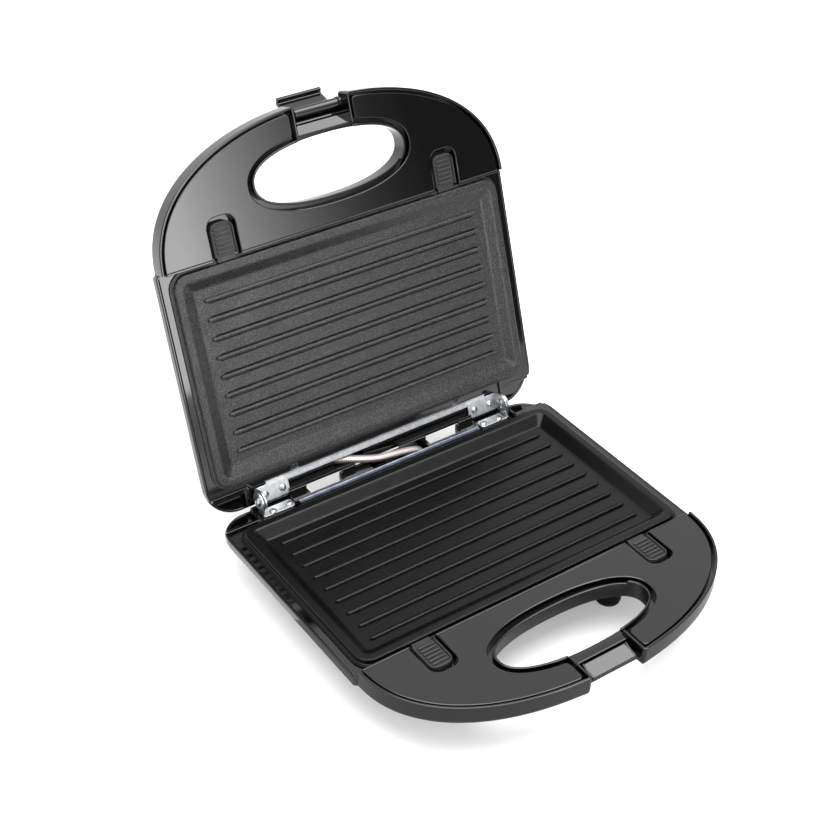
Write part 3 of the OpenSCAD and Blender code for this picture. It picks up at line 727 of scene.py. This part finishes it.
def notch_bar(shape, front, low, high):
    """Bevelled bar across the notch, from the finger hole forwards."""
    back = NOTCH_Y + 0.6
    profile = [(front, BRIM_Z + 1), (back, BRIM_Z + 1), (back, high), (back - 1, high), (front, low)]
    shape.slab(rounded(profile, 0.6, 3), -NOTCH_SIDE, NOTCH_SIDE, place=ALONG_X)
    side = NOTCH_HALF + 0.5
    lip = [p for p in hole_outline(0) if abs(p[0]) < side and p[1] < HOLE_Y]
    shape.slab([*lip, (side, back - 0.4), (-side, back - 0.4)][::-1], -8.3, high - 0.15, 0.4)


def casing(rear_top, notch_back, *bar):
    """Shell of one half, with blocks that close the slit behind its deck."""
    shape = Shape()
    rim(shape, rear_top)
    underside(shape, notch_back)
    belly(shape)
    notch_bar(shape, *bar)
    for x0, x1 in ((-70, -22), (12, 70)):
        shape.block(x0, x1, 1.5, BACK_Y - 2.1, DECK_Z - 1, -3.7, 0.2)
    return shape


shell = casing(DECK_Z, -218.6, -211.2, -2.9, -2.5)
for post_y in POST_YS:
    for post_x in (POST_X, -POST_X):
        shell.lathe([(7.2, -42), (7.8, -41.8), (8, -41.2), (8, -29)], at(post_x, post_y, 0))

window_cut = Shape()
for side in (1, -1):
    x0, x1 = sorted((side * (WINDOW[0] - 0.8), side * (WINDOW[1] + 0.8)))
    window_cut.block(x0, x1, -5, 10, WINDOW_Z - 0.8, 2, 0)
window_cut.lathe([(5.6, -8), (5.6, 0.8), (7.7, 0.8), (7.7, 12)], GLAND_PLACE)
build(shell, "base_casing", "base", "base", SHELL, "base_bottom_shell", cut=window_cut)

shell = casing(CORNER_Z + 0.5, -212.4, -212.4, -6.4, -2.6)
scoop = [(-215.3, BRIM_Z), (-212, BRIM_Z), (-212, -10.4), (-215.3, -12)]
shell.slab(scoop, -NOTCH_SIDE, NOTCH_SIDE, place=ALONG_X)
boss = [(LATCH_Y + 3.3, BRIM_Z), *arc(LATCH_Y, LATCH_Z, 3.3, 0, 180, 16), (LATCH_Y - 3.3, BRIM_Z + 2)]
for x0, x1 in ((LATCH_HALF + 0.2, NOTCH_SIDE), (-NOTCH_SIDE, -LATCH_HALF - 0.2)):
    shell.slab(boss, x0, x1, 0.3, 0.3, place=ALONG_X)
for lens_x in (LENS_X, -LENS_X):
    shell.lathe([(5.4, -0.3), (5.4, 1)], at(lens_x, LENS_Y, FLOOR_Z))
build(shell, "lid_casing", "lid", "lid", SHELL, "lid_outer_shell")

# ---------- inner covers ----------


def pocket(grow, y_open=HANDLE_Y):
    """Outline of the right-hand clip's pocket, open at the back."""
    return slot_end(POCKET_HALF + grow, POCKET_TIP - grow, POCKET_R + grow, y_open)


def panel_outline(inset, grow, radius):
    """Handle panel round the notch, the front edge, the pockets and the finger hole, its corners rounded."""
    side = NOTCH_HALF + inset
    edge, hole = handle_edge(inset, side), hole_rear(grow, side)
    inner, outer = hole[-1], edge[0]
    reach = radius * 1.2
    right = corner(far_from(hole, inner, reach)[-1], inner, outer, reach)
    right += corner(inner, outer, far_from(edge, outer, reach)[0], reach)
    right += [p for p in far_from(edge, outer, reach + 0.5) if p[1] < HANDLE_Y - 0.5]
    right += [(HANDLE_HALF - inset, HANDLE_Y), *pocket(0)]
    rear = far_from(far_from(hole, inner, reach + 0.5), (-inner[0], inner[1]), reach + 0.5)
    return right + mirrored(right) + rear


def ring_part(first, last, width):
    """Stretch of the collar round the finger hole, between two shares of the way along its rear path."""
    start, end = round(HOLE_STEPS * first), round(HOLE_STEPS * last) + 1
    side = NOTCH_HALF + 0.6
    return hole_rear(width, side)[start:end] + hole_rear(0, side)[start:end][::-1]


def cover(side_deck_z, deck_cuts):
    """Handle panel with its groove, pockets and collar, then the shelf and decks round the plate."""
    wall_back = HANDLE_Y + 1.3
    shape = Shape()
    shape.slab(panel_outline(GROOVE, 4.3, 2.6), -6.0, PANEL_Z, 0.6)
    shape.slab(panel_outline(1.9, 1.0, 0.6), -7.2, -5.9)
    # The collar steps down along the middle of its rear
    for first, last, top in ((0, 0.30, -1.4), (0.30, 0.70, -3.2), (0.70, 1, -1.4)):
        shape.slab(ring_part(first, last, 1.5), -8.2, top, 0.45)
    inner = CLIP_X - POCKET_HALF
    shape.block(-inner, inner, HANDLE_Y - 0.1, wall_back, SHELF_Z - 2, PANEL_Z - 0.1)
    sides = Shape()
    outer = CLIP_X + POCKET_HALF
    sides.block(outer, HANDLE_HALF - 3.5, HANDLE_Y - 0.1, wall_back, SHELF_Z - 2, PANEL_Z - 0.1)
    border = pocket(1.3, wall_back) + pocket(0.02, wall_back)[::-1]
    sides.slab(border, SHELF_Z - 2, PANEL_Z - 0.9)
    sides.slab(pocket(0.5, wall_back), SHELF_Z - 2, POCKET_Z)
    # Riser beside the hinge, corner deck and its riser
    sides.block(RECESS_X - 0.1, RECESS_X + 2, DECK_FRONT, DECK_BACK, -12, SHELF_Z - 0.05)
    sides.block(RECESS_X + 1, 121, RAIL_END - 0.1, RAIL_END + 2, -12, SHELF_Z - 0.05)
    x, r = BODY_HALF - CORNER_R, CORNER_R - 2.1
    y = BACK_Y - CORNER_R
    bend = [p for p in arc(x, y, r, 10, 90, 24) if p[1] > RAIL_END]
    sides.slab([(RECESS_X + 1, RAIL_END), *bend, (RECESS_X + 1, y + r)], -11, CORNER_Z)
    if side_deck_z < DECK_Z:
        sides.slab(rectangle(70, RECESS_X, DECK_FRONT, DECK_BACK), side_deck_z - 2, side_deck_z, 0.2)
    sides.twin()
    shape.join(sides)
    x = BODY_HALF - 1.9
    rail = [(x, HANDLE_Y + 0.1), (x, RAIL_END), (RECESS_X, RAIL_END), (RECESS_X, -19.6)]
    shape.slab(rail + mirrored(rail), SHELF_Z - 2, SHELF_Z, 0.2, holes=[(rectangle(-109, 109, -142, -22), 0)])
    edge = 71 if side_deck_z < DECK_Z else RECESS_X
    deck = [(-edge, DECK_FRONT), (edge, DECK_FRONT), (edge, DECK_BACK)]
    for x0, x1, y0 in deck_cuts:
        deck += [(x1, DECK_BACK), (x1, y0), (x0, y0), (x0, DECK_BACK)]
    shape.slab([*deck, (-edge, DECK_BACK)], DECK_Z - 2, DECK_Z, 0.2)
    return shape


lining = cover(BRACKET_DECK_Z, [(33, 58, -2.6), (-12, 30.5, -4.4), (-58, -33, -2.6)])
tray = Shape()
tray.block(WINDOW[0] - 2, WINDOW[1] + 2, -4.6, 3.4, WINDOW_Z - 2, WINDOW_Z, 0.3)
tray.block(WINDOW[0] - 2, WINDOW[1] + 2, -4.6, -2.6, WINDOW_Z - 1, DECK_Z - 0.1, 0.3)
for x in (WINDOW[0] - 2, WINDOW[1]):
    tray.block(x, x + 2, -4.5, 3.4, WINDOW_Z - 1, DECK_Z - 0.1, 0.3)
tray.twin()
lining.join(tray)
build(lining, "base_lining", "base", "base", SHELL, "base_top_cover")
lining = cover(DECK_Z, [(-35, -13, -3.45)])
build(lining, "lid_lining", "lid", "lid", SHELL, "lid_inner_cover")

# ---------- grill plates ----------

RIB_L, RIB_W, RIB_PITCH, RIB_COUNT = 197.0, 2.4, 11.9, 9
# From the floor through the crease at the rib's foot up to its crown: growth of the outline, and height
RIB_SECTION = ((1.05, 0), (0.9, -0.25), (0.8, -0.85), (0.3, -0.95), (0.08, -0.3), (0, 0.5),
               (-0.1, 0.95), (-0.4, 1.35), (-0.9, 1.5))


def grill(depth, crease):
    """Pressed sheet: flange, wall, rounded rim, mitred basin and half-round ribs in creases."""
    floor = RIM_Z - depth
    shape = Shape()
    # Each entry is inset, height and corner radius
    under = [(13, floor - 1.5, 1.5), (6.2, RIM_Z - 1.5, 4), (1.5, RIM_Z - 1.5, 7.5), (1.5, SHELF_Z, 7.5)]
    outside = [(-FLANGE, SHELF_Z, 11), (-FLANGE, SHELF_Z + 1, 11), (0, SHELF_Z + 1, 9), (0, RIM_Z, 9),
               (5.2, RIM_Z, 4.5), (11.6, floor, 1.6), (20, floor, 1.6)]
    outside = rounded(outside, 1.3, 4, closed=False)
    loops = [[(*p, z) for p in rounded_box(PLATE_HALF - i, PLATE_FRONT + i, PLATE_BACK - i, r, 6)]
             for i, z, r in under + outside]
    middle = (PLATE_FRONT + PLATE_BACK) / 2
    feet_of_ribs = []
    for k in range(RIB_COUNT):
        y = middle + (k - (RIB_COUNT - 1) / 2) * RIB_PITCH
        x = (RIB_L - RIB_W) / 2
        rings = []
        for grow, rise in RIB_SECTION:
            r = RIB_W / 2 + grow
            z = floor + (rise if rise > 0 else rise * crease)
            outline = [*arc(x, y, r, -90, 90, 10), *arc(-x, y, r, 90, 270, 10)]
            rings.append([(*p, z) for p in outline])
        shape.skin(rings)
        shape.cap([rings[-1]], True)
        feet_of_ribs.append(rings[0])
    shape.skin(loops)
    shape.cap([loops[0]], False)
    shape.cap([loops[-1], *feet_of_ribs], True)
    return shape


for half, place, crease in (("base", "lower", 0.45), ("lid", "upper", 1)):
    node = f"{place}_grill_plate"
    build(grill(BASIN[half], crease), f"{place}_plate", half, half, LIT_AND_SHADED_COAT[half], node)

# ---------- release clips ----------


def clip():
    """Right-hand button with a raised border, finger ribs and a tongue that holds the plate."""
    shape = Shape()

    def end(inset):
        return slot_end(CLIP_HALF - inset, CLIP_TIP + inset, CLIP_R - inset, HANDLE_Y - 0.3)

    shape.slab(end(0), -6.3, -3.0, 0.4, 0.3)
    shape.slab(end(0.15) + end(1.35)[::-1], -3.2, -1.9, 0.45)
    shape.block(CLIP_X - 6, CLIP_X + 6, HANDLE_Y - 0.6, PLATE_FRONT - 0.3, -4.6, -3.4)
    for k in range(6):
        y = CLIP_TIP + 3.3 + 2.75 * k
        shape.block(CLIP_X - 5.4, CLIP_X + 5.4, y, y + 1.5, -3.2, -2.0, 0.5)
    return shape


for half in HALVES:
    for hand, shape in (("right", clip()), ("left", clip().flipped())):
        name = f"{half}_clip_{hand}"
        build(shape, name, half, f"{name}_body", CLIP, f"{half}_release_clip_{hand}")

# ---------- hinge ----------

PIN_R = 2.0
BASE_SCREWS = ((75.0, -3.9), (87.0, -4.9))
LID_SCREWS = ((74.0, -0.4), (86.4, -0.4))


def bracket(plate, plate_z, ear, ear_x):
    """Flat foot and upright ear with the pin hole, from 1.2 mm sheet."""
    shape = Shape()
    x0, x1, y0, y1 = plate
    shape.slab(rounded_box_at(x0, x1, y0, y1, 2.4), *plate_z, 0.25, 0.2)
    hole = arc(0, 0, PIN_R + 0.05, 0, 350, 35)
    shape.slab(ear, *ear_x, 0.2, 0.2, holes=[(hole, 0.2)], place=ALONG_X)
    return shape


def disc_ear(r, y0, y1, foot):
    """Round ear that runs down into a foot between two positions."""
    start = -math.degrees(math.acos(y1 / r))
    end = 180 + math.degrees(math.acos(-y0 / r))
    return [(y0, foot), (y1, foot), *arc(0, 0, r, start, end, 30)]


def domed_screw(shape, x, y, z):
    dome = [(2.5 * math.cos(math.pi / 16 * k), 1.25 * math.sin(math.pi / 16 * k)) for k in range(8)]
    shape.lathe([(1.2, -4), (1.2, -0.05), (2.45, -0.05), *dome], at(x, y, z), 32)


def cross_recess(spots, z):
    """Cutter for the crossed slots of a row of screws, each turned its own way."""
    shape = Shape()
    for k, (x, y) in enumerate(spots):
        for turn in (0, 90):
            spin = Matrix.Rotation(math.radians(turn + 25 + 40 * k), 4, "Z")
            shape.block(-1.25, 1.25, -0.28, 0.28, 0.55, 2, 0, place=at(x, y, z) @ spin)
    return shape.twin()


# Half, foot in X and Y, its heights, outline of the ear, its stretch along X
BRACKETS = (
    ("base", (72, 94.4, -7.4, -0.4), (BRACKET_DECK_Z, DECK_Z),
     disc_ear(6, -6, -0.4, BRACKET_DECK_Z), (93.2, 94.4)),
    ("lid", (69.2, 92.7, -6.4, 4.6), (-6.2, -5),
     disc_ear(6.6, -6.4, 4.6, -6.2), (91.5, 92.7)),
)
for half, plate, plate_z, ear, ear_x in BRACKETS:
    made = bracket(plate, plate_z, ear, ear_x)
    for hand, shape in (("right", made), ("left", made.flipped())):
        node = f"{half}_hinge_bracket_{hand}"
        build(shape, f"{half}_bracket_{hand}", half, half, ZINC, node)
for half, spots, z in (("base", BASE_SCREWS, DECK_Z), ("lid", LID_SCREWS, -5)):
    heads = Shape()
    for x, y in spots:
        domed_screw(heads, x, y, z)
    build(heads.twin(), f"{half}_hinge_screws", half, half, SCREW, f"{half}_bracket_screws",
          cut=cross_recess(spots, z))

pins = Shape()
rivet = [(1.2, 89.9), (2.6, 90.2), (3.2, 90.7), (3.2, 91.4), (PIN_R, 91.4), (PIN_R, 94.5), (3.2, 94.5),
         (3.2, 95.2), (2.6, 95.7), (1.6, 95.8), (1.3, 95.5), (0.5, 95.4)]
pins.lathe(rivet, ALONG_X)
build(pins.twin(), "pivot_rivets", "base", "base", SCREW, "hinge_pins")

bead = [(-8.6, DECK_Z), (-5.7, DECK_Z), (-5.7, -6), (-6.3, -6), (-6.5, -6.4), (-7.8, -6.4), (-8, -6),
        (-8.6, -6)]
strip = Shape()
strip.slab(rounded(bead, 0.15, 2), -69, 69, place=ALONG_X)
build(strip, "base_strip", "base", "base", STRIP, "base_cross_strip")
strip = Shape()
fold = [(-8, DECK_Z), (-3.5, DECK_Z), (-3.5, -6.5), (-3.8, -6.2), (-7.3, -6.2), (-7.6, -5.9), (-8, -5.9)]
strip.slab(rounded(fold, 0.15, 2), -84, 84, place=ALONG_X)
build(strip, "lid_strip", "lid", "lid", ZINC, "lid_cross_strip")

# ---------- latch ----------

SWING = math.radians(joints["latch_hinge"]["range_deg"][1])
hook = [(-6, -1), (0, -1), (0, 3), (-3.4, 3), (-3.4, 17), (-0.5, 17), (-0.5, 19.5), (-4.6, 19.5), (-6, 18.1)]
parked = at(0, LATCH_Y, LATCH_Z) @ Matrix.Rotation(SWING, 4, "X") @ ALONG_X
latch = Shape()
latch.slab(rounded(hook, 0.9, 4), -LATCH_HALF, LATCH_HALF, 0.7, 0.7, place=parked)
latch.lathe([(2.5, -LATCH_HALF), (3.0, 0.3 - LATCH_HALF), (3.2, 0.9 - LATCH_HALF),
             (3.2, LATCH_HALF - 0.9), (3.0, LATCH_HALF - 0.3), (2.5, LATCH_HALF)], parked)
build(latch, "latch_tab", "lid", "latch", SHELL, "latch")

keeper = Shape()
under = [(KEEPER_FRONT, KEEPER_Z), (KEEPER_BACK, KEEPER_Z)]
ledge = [*under, (KEEPER_BACK, -3.4), (KEEPER_FRONT, -5.6)]
keeper.slab(rounded(ledge, 0.6, 3), -15, 15, 0.4, 0.4, place=ALONG_X)
sole = [*under, (KEEPER_BACK, -6.6), (KEEPER_FRONT, -6.9)]
keeper.slab(sole, -17.8, 17.8, 0.1, place=ALONG_X)
cheek = [*under, (KEEPER_BACK, -2.7), (-213.6, -2.7), (-215.4, -3.7), (-218.4, -4.7), (KEEPER_FRONT, -5.2)]
cheeks = Shape()
cheeks.slab(rounded(cheek, 0.8, 3), 14.8, 15.9, 0.35, 0.35, place=ALONG_X)
cheeks.twin()
keeper.join(cheeks)
build(keeper, "keeper", "base", "base", SHELL, "latch_keeper")

# ---------- feet, gland and lenses ----------

foot = [(5.6, 0), (6.9, 0.1), (7.4, 0.6), (7.4, 1.6), (7.0, 2), (3.4, 2), (3.4, -36 - FOOT_Z)]
feet = Shape()
for y in POST_YS:
    feet.lathe(foot, at(POST_X, y, FOOT_Z))
build(feet.twin(), "rubber_feet", "base", "base", RUBBER, "feet")

grommet = [(3.5, -6), (6.6, -6), (7, -5.6), (7, -4), (5.45, -4), (5.45, 0.8), (7.5, 0.8), (7.5, 2.4),
           (7.1, 2.8), (5.8, 2.8), (5.6, 4.7), (5.2, 5), (4, 5), (3.5, 4.6)]
gland = Shape()
gland.lathe(grommet, GLAND_PLACE, hollow=True)
build(gland, "cord_inlet", "base", "base", RUBBER, "cord_gland")

dome = [(0.4, -0.6), (2.4, -0.55), (3.4, -0.4), (3.9, 0), (4, 2), (5.5, 2), (5.5, 3.2)]
lenses = (("power", -LENS_X, RED_LENS, "red_lens"), ("ready", LENS_X, GREEN_LENS, "green_lens"))
for name, x, finish, slot in lenses:
    window = Shape()
    window.lathe(dome, at(x, LENS_Y, FLOOR_Z))
    build(window, f"{name}_lens", "lid", "lid", finish, f"indicator_lens_{name}")

# ---------- braided sleeve across the hinge ----------

SLEEVE_ROUTE = (
    (24, -5, -24), (26.5, -3.4, -18.5), (27, -2, -13.6), (24, -0.9, -9.8), (17, -0.3, -7.8),
    (6, 0.3, -6.4), (-5, 1.4, -5.4), (-15, 4.2, -3.8), (-23, 7.2, -2.4), (-28, 10.2, -2.5),
    (-31, 13.4, -3.6), (-32, 17, -4.8),
)


def smooth_route(route, steps):
    """Catmull-Rom curve through a route."""
    knots = [Vector(p) for p in (route[0], *route, route[-1])]
    made = []
    for a, b, c, d in zip(knots, knots[1:], knots[2:], knots[3:]):
        for k in range(steps):
            t = k / steps
            made.append(0.5 * (2 * b + (c - a) * t + (2 * a - 5 * b + 4 * c - d) * t ** 2
                               + (3 * b - a - 3 * c + d) * t ** 3))
    return [*made, knots[-1]]


def sleeve(r, sides=24):
    """Tube along the route, with its turn and length as texture coordinates."""
    path = smooth_route(SLEEVE_ROUTE, 8)
    shape = Shape()
    loops, lengths = [], [0.0]
    across = Vector((0, 1, 0))
    for i, p in enumerate(path):
        ahead = (path[min(i + 1, len(path) - 1)] - path[max(i - 1, 0)]).normalized()
        across = (across - ahead * across.dot(ahead)).normalized()
        other = ahead.cross(across)
        loops.append([p + r * (math.cos(a) * across + math.sin(a) * other)
                      for a in [2 * math.pi * k / sides for k in range(sides)]])
        if i:
            lengths.append(lengths[-1] + (p - path[i - 1]).length)
    shape.skin(loops)
    shape.add(loops[0], [list(reversed(range(sides)))])
    shape.add(loops[-1], [list(range(sides))])
    mesh = shape.mesh("sleeve", HALVES["base"])
    layer = mesh.uv_layers.new(name="UVMap")
    mesh.shade_smooth()
    for polygon in mesh.polygons:
        spots = [mesh.loops[k].vertex_index % sides for k in polygon.loop_indices]
        wraps = max(spots) - min(spots) > sides / 2
        for k, spot in zip(polygon.loop_indices, spots):
            # The vertices of the two end caps come after the last ring's
            ring = min(mesh.loops[k].vertex_index // sides, len(path) - 1)
            layer.data[k].uv = ((spot + sides if wraps and spot == 0 else spot) / sides, lengths[ring])
    mesh.materials.append(SLEEVE)
    return bpy.data.objects.new("sleeve", mesh)


braid = sleeve(2.5)
bpy.context.scene.collection.objects.link(braid)
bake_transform(braid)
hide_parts("wire_sleeve")

# ---------- CAD pieces that stay ----------

KEPT = (
    (SHEET, "lower_reflector_tray", "upper_reflector_tray"),
    (SHEATH, "lower_heating_element", "upper_heating_element"),
    (ZINC, "lower_heater_saddles", "upper_heater_saddles", "hinge_washers"),
    (SCREW, "lower_tray_screws", "upper_tray_screws", "base_shell_screws", "lid_shell_screws", "latch_pin"),
    (SPRING, "base_clip_springs", "lid_clip_springs"),
    (CAN, "base_thermostat", "lid_thermostat"),
    (CERAMIC, "base_thermal_fuse", "terminal_block"),
    (WIRE, "base_wiring", "lid_wiring"),
    (LAMP, "indicator_lamps"),
)
for finish, *names in KEPT:
    for name in names:
        node = frame["nodes"][name]
        for material_slot in node.material_slots:
            material_slot.material = finish
        edge = node.modifiers.new("Edge", "BEVEL")
        edge.width = 0.15 * MM
        edge.segments = 2
        edge.limit_method = "ANGLE"

# ---------- stage, light and camera ----------

CORNERS = ((0, 0), (1, 0), (1, 1), (0, 1))

# The floor glows a little, which keeps shadows on it pale
FLOOR_SIZE = 8
FLOOR_COLOUR, FLOOR_GLOW = (0.78, 0.78, 0.782), 0.26
# Black card to the right of the object
SIDE_X, SIDE_Y, SIDE_Z = 0.6, (-0.75, 0.15), (0.04, 0.5)
# Grey card just above the floor, which only reflections show: it darkens the base's front
LOW_X, LOW_Y, LOW_Z = (-0.3, 0.3), (-0.4, 0.0), 0.0006
# Soft light overhead
OVERHEAD_PLACE, OVERHEAD_SIZE, OVERHEAD_WATTS = (0.1, -0.3, 1.6), (2.0, 1.3), 45
# Lit card in front, with the places along X and the strengths that its fade runs between
CARD_X, CARD_Y, CARD_Z = (0.12, 1.0), -0.85, (0.12, 0.62)
FADE_X, FADE_POWER, FADE_STRENGTH = (0.70, 0.30), 2.7, (0.1, 8.5)
WORLD_STRENGTH = 1.3

# Camera, its angles in degrees and its lens in millimetres
AZIMUTH, ELEVATION, ROLL = (math.radians(a) for a in (-36.13, 36.42, 1.874))
CAMERA_PLACE = (-0.4569, -0.58735, 0.6622)
FOCAL_LENGTH, SENSOR_WIDTH = 69.47, 36


def stage_finish(name, colour, glow=0.0):
    """Matt paper or cloth, faintly uneven."""
    made = Finish(name, colour, 0.8, Emission_Color=WHITE, Emission_Strength=glow)
    made.tint(made.noise(400, 2), tuple(c * 0.985 for c in colour), NOISE_LOW, NOISE_HIGH)
    return made.material


def graded_finish(name):
    """Light that fades along X."""
    made = Finish(name, (0.02, 0.02, 0.02), 0.9, Emission_Color=WHITE)
    across = made.node("SeparateXYZ")
    made.link(made.place, across.inputs["Vector"])
    fade = made.calculate("POWER", made.remap(across.outputs["X"], *FADE_X, 0, 1), FADE_POWER)
    made.link(made.remap(fade, 0, 1, *FADE_STRENGTH), made.shader.inputs["Emission Strength"])
    return made.material


def card(name, corners, material):
    """Flat card that the camera doesn't see."""
    mesh = bpy.data.meshes.new(name)
    mesh.from_pydata(corners, [], [(0, 1, 2, 3)])
    mesh.materials.append(material)
    made = bpy.data.objects.new(name, mesh)
    made.visible_camera = False
    bpy.context.scene.collection.objects.link(made)
    return made


bpy.ops.mesh.primitive_plane_add(size=FLOOR_SIZE, location=(0, 0, 0))
floor = bpy.context.object
floor.name = "floor"
floor.data.materials.append(stage_finish("light_table", FLOOR_COLOUR, FLOOR_GLOW))

card("side_flag", [(SIDE_X, SIDE_Y[a], SIDE_Z[b]) for a, b in CORNERS],
     stage_finish("side_flag_cloth", (0.015, 0.015, 0.015)))
low_flag = card("low_flag", [(LOW_X[a], LOW_Y[b], LOW_Z) for a, b in CORNERS],
                stage_finish("low_flag_cloth", (0.33, 0.33, 0.33)))
low_flag.visible_diffuse = False
low_flag.visible_shadow = False

overhead_data = bpy.data.lights.new("overhead", "AREA")
overhead_data.shape = "RECTANGLE"
overhead_data.size, overhead_data.size_y = OVERHEAD_SIZE
overhead_data.energy = OVERHEAD_WATTS
overhead = bpy.data.objects.new("overhead", overhead_data)
overhead.location = OVERHEAD_PLACE
bpy.context.scene.collection.objects.link(overhead)

card("side_card", [(CARD_X[a], CARD_Y, CARD_Z[b]) for a, b in reversed(CORNERS)], graded_finish("side_card"))

world = bpy.data.worlds.new("studio")
world.use_nodes = True
background = world.node_tree.nodes["Background"]
background.inputs["Color"].default_value = WHITE
background.inputs["Strength"].default_value = WORLD_STRENGTH
bpy.context.scene.world = world
bpy.context.scene.view_settings.view_transform = "Standard"

level = math.cos(ELEVATION)
right = Vector((math.cos(AZIMUTH), math.sin(AZIMUTH), 0))
back = Vector((math.sin(AZIMUTH) * level, -math.cos(AZIMUTH) * level, math.sin(ELEVATION)))
up = back.cross(right)
turn = Matrix.Rotation(ROLL, 3, back)
camera_data = bpy.data.cameras.new("camera")
camera_data.lens = FOCAL_LENGTH
camera_data.sensor_width = SENSOR_WIDTH
camera = bpy.data.objects.new("camera", camera_data)
camera.matrix_world = Matrix.Translation(CAMERA_PLACE) @ Matrix(
    (turn @ right, turn @ up, back)).transposed().to_4x4()
bpy.context.scene.collection.objects.link(camera)
bpy.context.scene.camera = camera
